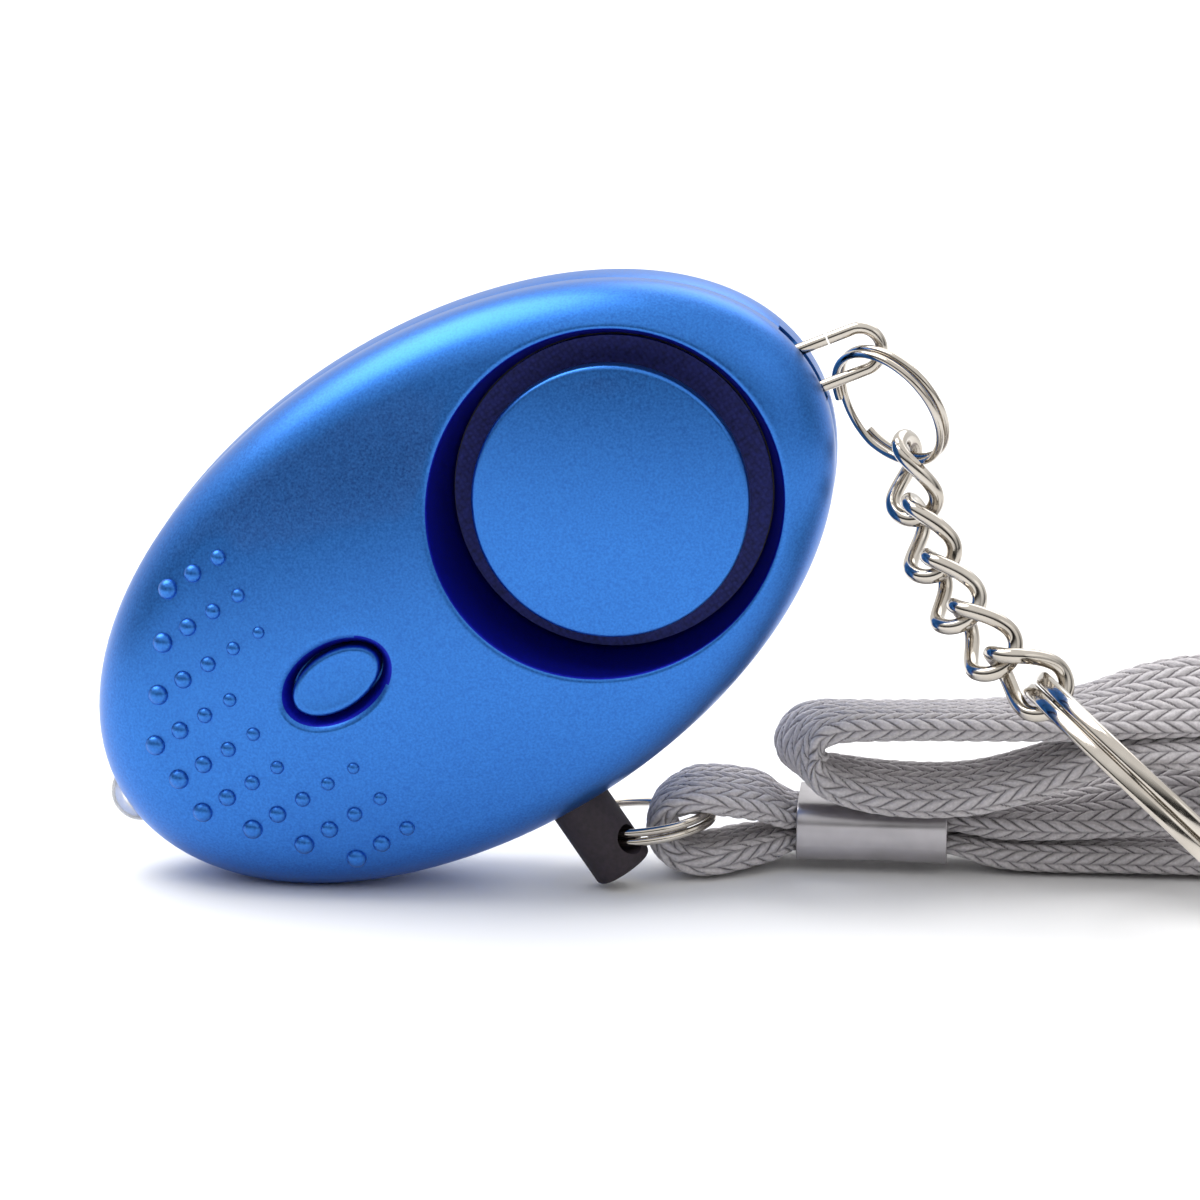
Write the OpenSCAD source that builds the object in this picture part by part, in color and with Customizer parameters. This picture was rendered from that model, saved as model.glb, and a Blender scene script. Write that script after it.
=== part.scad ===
// Personal safety alarm: oval case with pull pin, wrist strap and key chain.
// All sizes in millimetres. The case stands on its rim, long axis raised to
// the right, front face towards -Y. Origin on the floor under the middle.

/* [Case] */
// Length of the oval case
case_l = 67; // [64:0.5:72]
// Width of the oval case
case_w = 41; // [40:0.5:44]
// Height of the crowned front above the parting plane
front_h = 9; // [8.6:0.1:10]
// Depth of the flat back below the parting plane
rear_h = 8.5; // [8.4:0.1:10]
// Height of the straight band of the rim in front of the parting plane
rim_front = 1.2; // [0.8:0.1:1.6]
// Radius of the rounded edge of both shells
edge_r = 5.3; // [5:0.1:6]
// Wall of both shells
wall = 1.6; // [1.2:0.1:1.8]
// Height of the lap lip between the shells
lip_h = 0.8; // [0.5:0.1:1]
// Angle of the long axis above the floor
tilt = 34.5; // [30:0.5:38]

/* [Fits] */
// Clearance between fixed pieces
fit = 0.1; // [0.05:0.01:0.15]
// Clearance round the pieces that move
run = 0.15; // [0.12:0.01:0.2]

/* [Sounder] */
// Place of the sounder along the long axis
horn_x = 14.9; // [14.5:0.1:15.3]
// Diameter of the sound opening at its floor
horn_d = 26; // [25:0.2:26.6]
// Level of the mesh in the sound opening
horn_z = 2.6; // [2.4:0.1:2.8]
// Draft of the wall of the opening, per unit of height
horn_draft = 0.27; // [0.15:0.01:0.3]
// Wall of the sound opening
horn_wall = 1.2; // [1:0.1:1.4]
// Diameter of the speaker cap
cap_d = 22.2; // [20:0.2:23]
// Thickness of the speaker cap
cap_t = 2.4; // [2:0.1:3]
// Level of the face of the speaker cap
cap_z = 7.3; // [7:0.1:7.6]
// Diameter of the hub under the cap
hub_d = 9; // [8:0.5:10]
// Thickness of the mesh ring
mesh_t = 0.5; // [0.3:0.1:0.6]
// Thickness of the top of the sound chamber
chamber_t = 1; // [0.8:0.1:1.1]
// Diameter of the cup of the sound chamber
chamber_d = 22.6; // [22:0.2:23]
// Depth of the cup of the sound chamber
chamber_h = 3.6; // [3:0.1:4]
// Diameter of the sound ports
port_d = 2.4; // [1.5:0.1:3]
// Number of sound ports
port_n = 6; // [4:1:8]
// Diameter of the brass disc of the piezo
piezo_d = 22; // [20:0.5:22.4]
// Thickness of the brass disc
piezo_t = 0.3; // [0.2:0.05:0.4]

/* [Torch] */
// Place of the button along the long axis
button_x = -11.6; // [-12:0.1:-11]
// Length of the button
button_l = 8; // [7:0.1:8.4]
// Width of the button
button_w = 4.8; // [4:0.1:5]
// Level of the top of the button
button_z = 7.9; // [7.6:0.1:8.1]
// Length of the sloped well round the button
well_l = 10.3; // [9.8:0.1:11]
// Width of the sloped well round the button
well_w = 7; // [6.6:0.1:7.6]
// Depth of the sloped well
well_h = 1.7; // [1.2:0.1:1.9]
// Travel of the button
button_travel = 0.35; // [0.2:0.05:0.4]
// Diameter of the LED
led_d = 5; // [4.6:0.1:5.2]
// Reach of the LED dome beyond the case
led_out = 1.5; // [1:0.1:2]

/* [Grip dots] */
// Distance between dots along a row
dot_pitch = 2.56; // [2.3:0.02:2.7]
// Distance between rows
row_pitch = 3.36; // [3:0.02:3.5]
// Diameter of the largest dot
dot_d = 1.67; // [1.2:0.01:1.9]
// Height of the dots above the case
dot_h = 0.22; // [0.1:0.02:0.3]

/* [Pull pin] */
// Place of the pin along the long axis
pin_x = -2.6; // [-3:0.1:-2.2]
// Diameter of the rubber head
pin_d = 5; // [4.4:0.1:5.4]
// Reach of the pin head beyond the rim
pin_out = 6.75; // [6:0.05:6.85]
// Depth of the socket inside the rim
pin_in = 4.1; // [3.6:0.1:4.3]
// Diameter of the shank
shank_d = 2.2; // [1.8:0.1:2.4]
// Reach of the shank inside the head
shank_in = 2.6; // [2:0.1:3]
// Reach of the shank beyond the head
shank_out = 3.8; // [3:0.1:4]
// Diameter of the hole for the split ring
eye_d = 2.4; // [2.3:0.1:2.6]

/* [Rings] */
// Outer diameter of the key ring
key_d = 28; // [24:0.5:28.5]
// Radial width of the key ring wire
key_w = 1.6; // [1.2:0.1:2]
// Height of one coil of the key ring
key_h = 1.2; // [0.9:0.1:1.4]
// Outer diameter of the split ring on the pin
pinring_d = 11.5; // [11:0.1:12]
// Wire of the split ring on the pin
pinring_t = 0.7; // [0.5:0.05:0.75]
// Outer diameter of the small ring on the bail
tagring_d = 11.2; // [10.8:0.1:11.4]
// Wire of the small ring on the bail
tagring_t = 0.65; // [0.5:0.05:0.7]
// Gap between the two coils of every split ring
coil_gap = 0.1; // [0.06:0.01:0.15]

/* [Bail] */
// Wire of the bail
bail_t = 1; // [0.8:0.05:1.1]
// Distance between the legs of the bail, on centres
bail_w = 3.45; // [3.2:0.05:3.6]
// Length of the bail, from the post to the outer bow
bail_l = 9.6; // [9:0.1:10.5]
// Swing of the bail below the long axis
bail_drop = 12; // [8:1:13]
// Opening of the butt joint in the bail wire
bail_gap = 0.35; // [0.2:0.05:0.6]
// Diameter of the post that holds the bail
post_d = 1.7; // [1.5:0.1:1.8]

/* [Chain] */
// Length of a chain link over the wire
link_l = 8; // [7.9:0.05:8.1]
// Width of a chain link over the wire
link_w = 5.8; // [5.5:0.1:6]
// Wire of a chain link
link_t = 1.25; // [1:0.05:1.3]
// Free play between two links
link_play = 0.35; // [0.3:0.05:0.5]

/* [Strap] */
// Width of the woven strap
strap_w = 8; // [6.5:0.1:8.4]
// Thickness of the strap
strap_t = 2.7; // [2:0.1:2.75]
// Length of the crimp
crimp_l = 12.4; // [11:0.1:13]
// Width of the crimp
crimp_w = 9.3; // [8.6:0.1:10]
// Height of the crimp
crimp_h = 4.9; // [4.7:0.05:5]
// Sheet of the crimp
crimp_t = 0.4; // [0.3:0.05:0.45]

/* [Inside] */
// Diameter of a button cell
cell_d = 11.6; // [11.4:0.1:11.7]
// Height of a button cell
cell_h = 5.4; // [5:0.1:5.5]
// Floor of the battery tray
tray_t = 0.8; // [0.6:0.1:0.9]
// Thickness of the contact sheet
leaf_t = 0.2; // [0.15:0.01:0.25]
// Thickness of the circuit board
board_t = 1; // [0.8:0.1:1.2]
// Level of the back of the circuit board
board_z = 1.6; // [1.5:0.1:1.7]
// Diameter of a case screw
screw_d = 1.9; // [1.6:0.1:2]
// Diameter of the head of a case screw
screw_head = 3.4; // [3:0.1:3.5]

/* [Hidden] */
$fn = 48;
half_l = case_l / 2;
half_w = case_w / 2;
rise = sqrt(pow(half_l * sin(tilt), 2) + pow(half_w * cos(tilt), 2));
floor_z = wall - rear_h;
over = 1;

// Sounder levels
horn_r = horn_d / 2;
shelf_z = horn_z - mesh_t;
chamber_z = shelf_z - chamber_t;
cup_z = chamber_z - chamber_h;
rib_t = 1.2;
ceramic_t = 0.25;
ceramic_d = 15;
port_ring = 7.4;

// Button levels
guide_wall = 1;
guide_z = 5.55;
flange_t = 0.65;
flange_out = 0.9;
flange_z = guide_z - 0.05 - flange_t;
well_floor = button_z - well_h + 0.35;
switch_w = 6;
switch_h = 1.8;
plunger_d = 3;
plunger_in = 0.2;
board_top = board_z + board_t;
switch_top = board_top + switch_h;

// LED
led_r = led_d / 2;
led_tip = -half_l - led_out;
led_base = -27.5;
led_flange = 2.9;
led_leg = 0.5;
led_pitch = 2.54;
led_bend = -25;

// Pull pin: the pin lies along local -Y
pin_r = pin_d / 2;
rim_at_pin = half_w * sqrt(1 - pow(pin_x / half_l, 2));
pin_top = pin_in - half_w;
pin_end = -rim_at_pin - pin_out;
eye_y = pin_end + 3.15;
sleeve_t = 1.1;
sleeve_end = 0.7;
shank_r = shank_d / 2;

// Split ring on the pin, seen from its own middle
pinring_r = (pinring_d - pinring_t) / 2;
pinring_turn = 52.7;
pinring_lean = 8;
eye_in = 0.3;

// The ring passes the drilled eye of the pin at one point of its turn
eye_at = [pin_x * cos(tilt) - eye_y * sin(tilt), 0, rise + pin_x * sin(tilt) + eye_y * cos(tilt)];
pinring_at = eye_at + pinring_r * [cos(pinring_turn) * cos(pinring_lean), sin(pinring_turn),
  cos(pinring_turn) * sin(pinring_lean)];

// Bail and its post
post_x = half_l - 3.3;
post_at = [post_x * cos(tilt), 0, rise + post_x * sin(tilt)];
bail_r = bail_w / 2;
slot_z = bail_t / 2 + 0.3;
slot_w = 7;
bail_swing = 4;

// Small ring on the bail
tagring_r = (tagring_d - tagring_t) / 2;
tagring_at = post_at + [9.3214, 0.12, -1.7514];
tagring_turn = [117, 0, -41];
tagring_split = 200;

// Chain: fall, forward lean and turn of every link, in degrees
link_n = 5;
link_fall = [80, 66, 54, 43, 30];
link_fore = [18, 35, 42, 36, 16];
link_turn = [20, 8, 0, -10, -20];
chain_top = tagring_at + [1.328, 1.867, -3.711];
link_span = link_l - link_t;
link_step = link_t + link_play;
link_pitch = link_span - link_step;
link_r = (link_w - link_t) / 2;
link_e = link_span / 2 - link_r;
link_twist = -90;
link_rings = 32;
wire_sides = 8;

// Key ring: hangs edge-on in the last link, its flat side short of the round bow
key_r = (key_d - key_w) / 2;
key_slope = 43;
key_seat = 0.325;
key_ray = [0, 0.968, -0.25];
coil_steps = 36;

// Strap: rows of x, y, z, lean, yaw and thickness
crimp_at = [33.2, 9, 3.4];
crimp_r = 1.7;
crimp_strand = 1.9;
strap_sides = 8;
strap_steps = 2;
soft = 2.2;
ring_route = [
  [33.3, 9, 2.4, 0, 0, crimp_strand],
  [27, 9, 2.4, 0, 0, crimp_strand],
  [23.4, 7.6, 1.9, 0, 0, soft],
  [19.6, 5.2, 1.6, 0, 0, soft],
  [17.5, 4.8, 2.7, 0, 0, soft],
  [16.9, 4.7, 4.6, 0, 0, soft],
  [17.7, 4.7, 7, 0, 0, soft],
  [20, 5.1, 7.9, 4, 0, soft],
  [23.6, 7.4, 6.6, 4, 0, soft],
  [27, 9, 4.4, 0, 0, crimp_strand],
  [33.3, 9, 4.4, 0, 0, crimp_strand]
];
wrist_route = [
  [33.6, 9, 4.4, 0, 0, crimp_strand],
  [39.5, 9, 4.4, 0, 0, crimp_strand],
  [43.5, 9.2, 4.3, 3, 0, strap_t],
  [49, 9.4, 4.8, 14, 0, strap_t],
  [54, 9.4, 5.9, 30, 0, strap_t],
  [59, 9.4, 6.4, 36, 0, strap_t],
  [66, 9.4, 5.4, 20, 0, strap_t],
  [76, 9.5, 4.4, 0, 0, strap_t],
  [88, 9.5, 4.3, 0, 0, strap_t],
  [92.8, 9.5, 4.7, 0, 0, strap_t],
  [93.8, 9.5, 6.2, 0, 0, strap_t],
  [92.8, 9.5, 7.7, 0, 0, strap_t],
  [88, 9.4, 8.1, 0, 0, strap_t],
  [78, 8.8, 8.8, 0, 0, strap_t],
  [69, 7.6, 10.4, 6, 0, strap_t],
  [60, 6.4, 11.8, 10, 0, strap_t],
  [52.5, 6, 11.3, 11, 0, strap_t],
  [46.5, 6, 9, 11, 0, strap_t],
  [41, 6, 7.5, 11, 0, strap_t],
  [35, 6, 7.3, 11, 0, strap_t],
  [30, 6, 8.1, 8, 14, strap_t],
  [27.7, 6, 9.4, 4, 28, strap_t],
  [27.4, 6, 11.1, 0, 28, strap_t],
  [29.2, 6, 12.7, 0, 20, strap_t],
  [35, 6, 13.1, -2, 0, strap_t],
  [43, 6, 13.4, 0, 0, strap_t],
  [50, 6.1, 14.1, 12, 0, strap_t],
  [56, 6.4, 15.3, 32, 0, strap_t],
  [61, 6.8, 15.7, 38, 0, strap_t],
  [68, 7.6, 14.8, 22, 0, strap_t],
  [78, 8.8, 12.8, 4, 0, strap_t],
  [89, 9.5, 11.5, 0, 0, strap_t],
  [94.6, 9.5, 10.4, 0, 0, strap_t],
  [97, 9.5, 7, 0, 0, strap_t],
  [95.4, 9.5, 3, 0, 0, strap_t],
  [90, 9.5, 1.5, 0, 0, strap_t],
  [74, 9.5, 1.5, 0, 0, strap_t],
  [58, 9.5, 1.5, 0, 0, strap_t],
  [45, 9.3, 1.5, 0, 0, strap_t],
  [39.5, 9, 2.4, 0, 0, crimp_strand],
  [33.6, 9, 2.4, 0, 0, crimp_strand]
];

// Inside
cell_at = [[-6.6, 6.1], [-6.6, -6.1], [-17.3, 0]];
cell_z = floor_z + tray_t + leaf_t;
cell_top = cell_z + cell_h;
tray_wall = 0.8;
tray_post = [[-14.2, 9.2], [-14.2, -9.2], [-0.8, 0]];
tray_post_d = 2.4;
strip_w = 4;
pad_d = 6;
tab_w = 2;
tab_x = -24.6;
board_end = 0.2;
board_l = 27.5;
board_w = 15.2;
boss_at = [[-20.8, 9.6], [-20.8, -9.6], [4.2, 15.8], [4.2, -15.8]];
boss_d = 4.4;
foot_d = 5.2;
screw_seat = floor_z + 0.3;
screw_end = 4;
leaf_from = pin_top + sleeve_end + 1;
leaf_side = pin_x - shank_r - fit - leaf_t - cell_at[1][0];
leaf_l = 0.75 * (cell_at[1][1] - sqrt(pow(cell_d / 2, 2) - pow(leaf_side, 2)) - leaf_from);
coil_d = 5.6;
coil_h = 3;
chip = [5, 4, 1.5];
transistor = [4.5, 2.5, 1.4];

// Vector helpers
function unit(v) = v / norm(v);
function across(v, t) = unit(v - (v * t) * t);

// Chain frames: s runs down the link, t is the line of its top bow
function fall(i) = [cos(link_fore[i]) * cos(link_fall[i]), -sin(link_fore[i]),
  -cos(link_fore[i]) * sin(link_fall[i])];
function joint_at(i) = i == 0 ? chain_top : joint_at(i - 1) + link_pitch * fall(i - 1);
function turned(v, k, a) = v * cos(a) + cross(k, v) * sin(a);
function bow_line(i) = turned(across([0, 1, 0], fall(i)), fall(i), link_turn[i]);
function bow_at(i) = joint_at(i) - fall(i) * link_step / 2;

// Key ring frame
key_m = across([cos(key_slope), 0, -sin(key_slope)], unit(key_ray));
key_t = unit(key_ray);
key_n = cross(key_m, key_t);
key_hook = joint_at(link_n) + fall(link_n - 1)
  * (link_step / 2 - link_t / 2 - link_play - key_w / 2 - key_seat);
key_mid = key_hook + key_r * key_m;
key_half = key_h + coil_gap / 2;

// Middle of the box round the stiff pieces, brought onto the origin
key_c = 0.3 * min(key_w, key_h);
function key_reach(n) = max(key_d / 2 * sqrt(1 - n * n) + (key_half - key_c) * abs(n),
  (key_d / 2 - key_c) * sqrt(1 - n * n) + key_half * abs(n));
case_reach = sqrt(pow(half_l * cos(tilt), 2) + pow(half_w * sin(tilt), 2));
mid_x = (key_mid[0] + key_reach(key_n[0]) - case_reach) / 2;
mid_y = (max(rear_h, pinring_at[1] + pinring_d / 2) + key_mid[1] - key_reach(key_n[1])) / 2;

// Sweeps: every ring of points is joined to the next
function loop_faces(n, m, shut) = [
  for (i = [0 : shut ? n - 1 : n - 2]) for (k = [0 : m - 1])
    let (a = i * m + k, b = i * m + (k + 1) % m,
      c = ((i + 1) % n) * m + k, d = ((i + 1) % n) * m + (k + 1) % m)
      each [[a, c, b], [b, c, d]]];
function cap_faces(n, m) = [
  for (k = [1 : m - 2]) [0, k, k + 1],
  for (k = [1 : m - 2]) [(n - 1) * m, (n - 1) * m + k + 1, (n - 1) * m + k]];

module sweep(rings, shut) {
  n = len(rings);
  m = len(rings[0]);
  polyhedron([for (r = rings) each r],
    concat(loop_faces(n, m, shut), shut ? [] : cap_faces(n, m)));
}

// Rounded eight-sided section, wide along the first axis
function section(w, t) = let (c = 0.3 * min(w, t)) [
  [w / 2, c - t / 2], [w / 2, t / 2 - c], [w / 2 - c, t / 2], [c - w / 2, t / 2],
  [-w / 2, t / 2 - c], [-w / 2, c - t / 2], [c - w / 2, -t / 2], [w / 2 - c, -t / 2]];

// Two turns of wire: the first low, a short ramp, the second high
function coil_level(a, step) = a < 330 ? -step / 2 : a > 390 ? step / 2
  : step * ((a - 330) / 60 - 0.5);
module split_ring(r, w, h, start) {
  step = h + coil_gap;
  n = 2 * coil_steps - 4;
  sweep([for (i = [0 : n])
    let (a = 20 + 680 * i / n, z = coil_level(a, step))
      [for (p = section(w, h)) [(r + p[0]) * cos(a + start), (r + p[0]) * sin(a + start),
        z - p[1]]]], false);
}

// Smooth curve through the rows of a route
function blend(a, b, c, d, t) = 0.5 * (2 * b + (c - a) * t
  + (2 * a - 5 * b + 4 * c - d) * t * t + (3 * b - a - 3 * c + d) * t * t * t);
function smooth(rows) = let (n = len(rows)) [
  for (i = [0 : n - 2]) for (j = [0 : strap_steps - 1])
    blend(rows[max(i - 1, 0)], rows[i], rows[i + 1], rows[min(i + 2, n - 1)],
      j / strap_steps),
  rows[n - 1]];
function spot(r) = [r[0], r[1], r[2]];
function strap_ring(rows, i) = let (n = len(rows), r = rows[i],
  t = unit(spot(rows[min(i + 1, n - 1)]) - spot(rows[max(i - 1, 0)])),
  w = across([-sin(r[4]) * cos(r[3]), cos(r[4]) * cos(r[3]), sin(r[3])], t),
  u = cross(t, w), wide = strap_w - 0.9 * (strap_t - r[5]))
  [for (p = section(wide, r[5])) spot(r) + w * p[0] + u * p[1]];

module strap(route) {
  rows = smooth(route);
  sweep([for (i = [0 : len(rows) - 1]) strap_ring(rows, i)], false);
}

// Places
module rest() {
  translate([-mid_x, -mid_y, 0])
    children();
}

module on_case() {
  rest()
    translate([0, 0, rise])
      rotate([0, -tilt, 0])
        rotate([90, 0, 0])
          children();
}

module along_pin() {
  on_case()
    translate([pin_x, 0, 0])
      rotate([90, 0, 0])
        children();
}

// Half profile of a shell, drawn in by the given inset
module shell_half(h, flat, inset) {
  r = edge_r - inset;
  b = half_w - inset;
  d = half_w - edge_r;
  difference() {
    union() {
      translate([d, flat])
        circle(r);
      translate([0, -over])
        square([b, flat + over]);
      translate([0, -over])
        square([d, flat + r + over]);
    }
    translate([-r - over, -2 * over])
      square([r + over, h + 4 * over]);
  }
}

// Crowned profile: a wide arc that runs into the edge arc
module crown_half(inset) {
  r = edge_r - inset;
  d = half_w - edge_r;
  t = front_h - inset;
  k = rim_front - t;
  big = (r * r - k * k - d * d) / (2 * (k + r));
  lift = t - big;
  a = atan2(d, rim_front - lift);
  edge = [big * sin(a), lift + big * cos(a)];
  union() {
    intersection() {
      translate([0, lift])
        circle(big, $fn = 180);
      polygon([[0, -over], [d, -over], edge, [edge[0], t + over], [0, t + over]]);
    }
    intersection() {
      translate([d, rim_front])
        circle(r);
      polygon([[d, -over], [half_w + over, -over], [half_w + over, t + over], edge]);
    }
    translate([0, -over])
      square([half_w - inset, rim_front + over]);
  }
}

// Oval body: four quarter turns of the profile, each stretched along the case
module oval_turn(inset) {
  for (q = [0 : 3])
    scale([(half_l - inset) / (half_w - inset), 1, 1])
      rotate([0, 0, 90 * q])
        rotate_extrude(angle = 90, $fn = 96)
          children();
}

module front_form(inset) {
  oval_turn(inset)
    crown_half(inset);
}

module rear_form(inset) {
  mirror([0, 0, 1])
    oval_turn(inset)
      shell_half(rear_h - inset, rear_h - edge_r, inset);
}

module oval_band(inset, z, h) {
  translate([0, 0, z])
    linear_extrude(h)
      scale([(half_l - inset) / (half_w - inset), 1])
        circle(half_w - inset, $fn = 96);
}

module above(z) {
  intersection() {
    children();
    translate([-case_l, -case_w, z])
      cube([2 * case_l, 2 * case_w, case_w]);
  }
}

module below(z) {
  intersection() {
    children();
    translate([-case_l, -case_w, z - case_w])
      cube([2 * case_l, 2 * case_w, case_w]);
  }
}

module disc(x, y, z, d, h) {
  translate([x, y, z])
    cylinder(d = d, h = h);
}

module ellipse_post(l, w, z, h) {
  translate([button_x, 0, z])
    linear_extrude(h)
      scale([l / w, 1])
        circle(d = w);
}

// Bores shared by both shells: LED, pin socket and bail slot
module rim_bores() {
  translate([-half_l - over, 0, 0])
    rotate([0, 90, 0])
      cylinder(r = led_r + fit, h = half_l + over + led_base);
  translate([pin_x, pin_top + fit, 0])
    rotate([90, 0, 0])
      cylinder(r = pin_r + run, h = half_w);
  translate([pin_x, 0, 0])
    rotate([90, 0, 0])
      cylinder(r = shank_r + run, h = half_w);
  translate([post_x, -slot_w / 2, -slot_z])
    cube([half_l, slot_w, 2 * slot_z]);
  disc(post_x, 0, -slot_z, slot_w, 2 * slot_z);
}

// Sleeve round the pin socket
module pin_sleeve() {
  translate([pin_x, pin_top + sleeve_end, 0])
    rotate([90, 0, 0])
      cylinder(r = pin_r + sleeve_t, h = half_w + pin_top);
}

// Height of the crowned front over a point of the case
function crown_k() = rim_front - front_h;
function crown_r() = (edge_r * edge_r - crown_k() * crown_k()
  - pow(half_w - edge_r, 2)) / (2 * (crown_k() + edge_r));
function ring_at(x, y) = half_w * sqrt(pow(x / half_l, 2) + pow(y / half_w, 2));
function face_z(x, y) = let (q = ring_at(x, y), d = half_w - edge_r,
  lift = front_h - crown_r(), edge = crown_r() * d / (crown_r() - edge_r))
  q < edge ? lift + sqrt(crown_r() * crown_r() - q * q)
    : rim_front + sqrt(edge_r * edge_r - pow(q - d, 2));

// Top of a screw boss, just under the face on its outer side
function boss_top(p) = let (q = p * (1 + boss_d / 2 / norm(p))) face_z(q[0], q[1]) - 0.5;

// Rows of dots, largest at the rim
dot_rows = [[0, 4, -27.5], [1, 4, -27.5], [2, 5, -24.8], [3, 4, -22], [4, 3, -19.2]];
function dot_size(i) = dot_d * pow(0.82, i);

module dot(x, y, d) {
  root = wall / 2;
  translate([x, y, face_z(x, y) - root])
    cylinder(d = d, h = root + dot_h, $fn = 24);
}

module grip_dots() {
  for (row = dot_rows)
    for (i = [0 : row[1] - 1])
      for (side = row[0] == 0 ? [1] : [-1, 1])
        dot(row[2] + i * dot_pitch, side * row[0] * row_pitch, dot_size(i));
}

module front_shell() {
  color("royalblue")
    on_case()
      difference() {
        union() {
          above(0)
            difference() {
              front_form(0);
              front_form(wall);
            }
          intersection() {
            front_form(wall / 2);
            union() {
              translate([horn_x, 0, shelf_z])
                cylinder(r1 = horn_r + horn_wall, r2 = horn_r + horn_wall
                  + horn_draft * front_h, h = front_h);
              ellipse_post(button_l + 2 * (run + guide_wall),
                button_w + 2 * (run + guide_wall), guide_z, front_h);
              above(0)
                pin_sleeve();
              disc(post_x, 0, slot_z - 0.05, post_d + 1.4, front_h);
            }
          }
          for (p = boss_at)
            disc(p[0], p[1], 0.05, boss_d, boss_top(p) - 0.05);
          grip_dots();
        }
        translate([horn_x, 0, shelf_z - over])
          cylinder(r1 = horn_r - horn_draft * (over + mesh_t),
            r2 = horn_r + horn_draft * front_h, h = front_h + over + mesh_t);
        ellipse_post(button_l + 2 * run, button_w + 2 * run, 0, 2 * front_h);
        translate([button_x, 0, well_floor])
          scale([well_l / well_w, 1, 1])
            cylinder(d1 = button_w + 2 * run, d2 = well_w + (well_w - button_w) / 2,
              h = 1.5 * well_h);
        for (p = boss_at)
          disc(p[0], p[1], -over, screw_d + fit, screw_end + 1.5 * over);
        difference() {
          oval_band(wall / 2 - fit, -over, over + lip_h + fit);
          oval_band(wall + fit, -2 * over, 4 * over);
        }
        rim_bores();
      }
}

module rear_shell() {
  color("mediumblue")
    on_case() {
      difference() {
        union() {
          below(0)
            difference() {
              rear_form(0);
              rear_form(wall);
            }
          difference() {
            oval_band(wall / 2, -wall, wall + lip_h);
            oval_band(wall - 0.05, -2 * wall, 4 * wall);
          }
          intersection() {
            rear_form(wall / 2);
            below(-fit / 2)
              union() {
                for (p = boss_at)
                  disc(p[0], p[1], -rear_h, foot_d, rear_h);
                pin_sleeve();
                translate([led_base - 3, -3.6, -rear_h])
                  cube([1.4, 7.2, rear_h - 0.3]);
                difference() {
                  disc(horn_x, 0, -rear_h, chamber_d, rear_h + cup_z - piezo_t - fit / 2);
                  disc(horn_x, 0, floor_z, chamber_d - 2 * rib_t, rear_h);
                }
              }
          }
        }
        for (p = boss_at) {
          disc(p[0], p[1], -2 * rear_h, screw_d + 4 * fit, 3 * rear_h);
          disc(p[0], p[1], screw_seat - 2 * over - rear_h, screw_head + 2 * fit,
            rear_h + 2 * over);
        }
        rim_bores();
      }
      disc(post_x, 0, -rear_h + wall / 2 + 0.4, post_d, rear_h - wall / 2 - 0.4 + slot_z - 0.1);
    }
}

module speaker_cap() {
  soft_edge = 0.35;
  color("cornflowerblue")
    on_case()
      translate([horn_x, 0, 0])
        rotate_extrude($fn = 72)
          polygon([[0, horn_z - mesh_t], [hub_d / 2, horn_z - mesh_t],
            [hub_d / 2, cap_z - cap_t], [cap_d / 2 - soft_edge, cap_z - cap_t],
            [cap_d / 2, cap_z - cap_t + soft_edge], [cap_d / 2, cap_z - soft_edge],
            [cap_d / 2 - soft_edge, cap_z], [0, cap_z]]);
}

module sound_mesh() {
  color("black")
    on_case()
      translate([horn_x, 0, shelf_z])
        difference() {
          cylinder(r = horn_r - horn_draft * mesh_t - fit, h = mesh_t);
          translate([0, 0, -over])
            cylinder(r = hub_d / 2 + fit, h = 3 * over);
        }
}

module sound_chamber() {
  color("dimgray")
    on_case()
      translate([horn_x, 0, 0])
        difference() {
          union() {
            translate([0, 0, chamber_z])
              cylinder(r = horn_r + horn_wall / 2, h = chamber_t);
            translate([0, 0, cup_z])
              cylinder(d = chamber_d, h = chamber_h + chamber_t / 2);
          }
          translate([0, 0, cup_z - over])
            cylinder(d = chamber_d - 2 * rib_t, h = chamber_h + over);
          for (i = [0 : port_n - 1])
            rotate([0, 0, i * 360 / port_n])
              translate([port_ring, 0, 0])
                cylinder(d = port_d, h = front_h);
        }
}

module piezo_disc() {
  color("gold")
    on_case()
      translate([horn_x, 0, cup_z - piezo_t]) {
        cylinder(d = piezo_d, h = piezo_t);
        translate([0, 0, -ceramic_t])
          cylinder(d = ceramic_d, h = ceramic_t);
      }
}

module circuit_board() {
  color("seagreen")
    on_case()
      translate([0, 0, board_z])
        linear_extrude(board_t)
          difference() {
            intersection() {
              scale([board_l / board_w, 1])
                circle(board_w, $fn = 96);
              translate([-board_l, -board_w])
                square([board_l + board_end, 2 * board_w]);
            }
            for (p = boss_at)
              translate(p)
                circle(d = boss_d + 4 * fit);
          }
}

module boost_coil() {
  color("saddlebrown")
    on_case()
      translate([-6, 8.6, board_top])
        rotate_extrude()
          polygon([[0, 0], [coil_d / 2, 0], [coil_d / 2, 0.6], [coil_d / 2 - 0.5, 0.9],
            [coil_d / 2 - 0.5, coil_h - 0.9], [coil_d / 2, coil_h - 0.6],
            [coil_d / 2, coil_h], [0, coil_h]]);
}

module driver_chip() {
  leg_n = 4;
  color("black")
    on_case()
      translate([-19.5, 0, board_top]) {
        translate([-chip[0] / 2, -chip[1] / 2, 0.15])
          cube([chip[0], chip[1], chip[2]]);
        for (i = [0 : leg_n - 1])
          translate([(i - (leg_n - 1) / 2) * 1.27 - 0.2, -chip[1] / 2 - 0.8, 0])
            cube([0.4, chip[1] + 1.6, 0.2]);
      }
}

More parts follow.
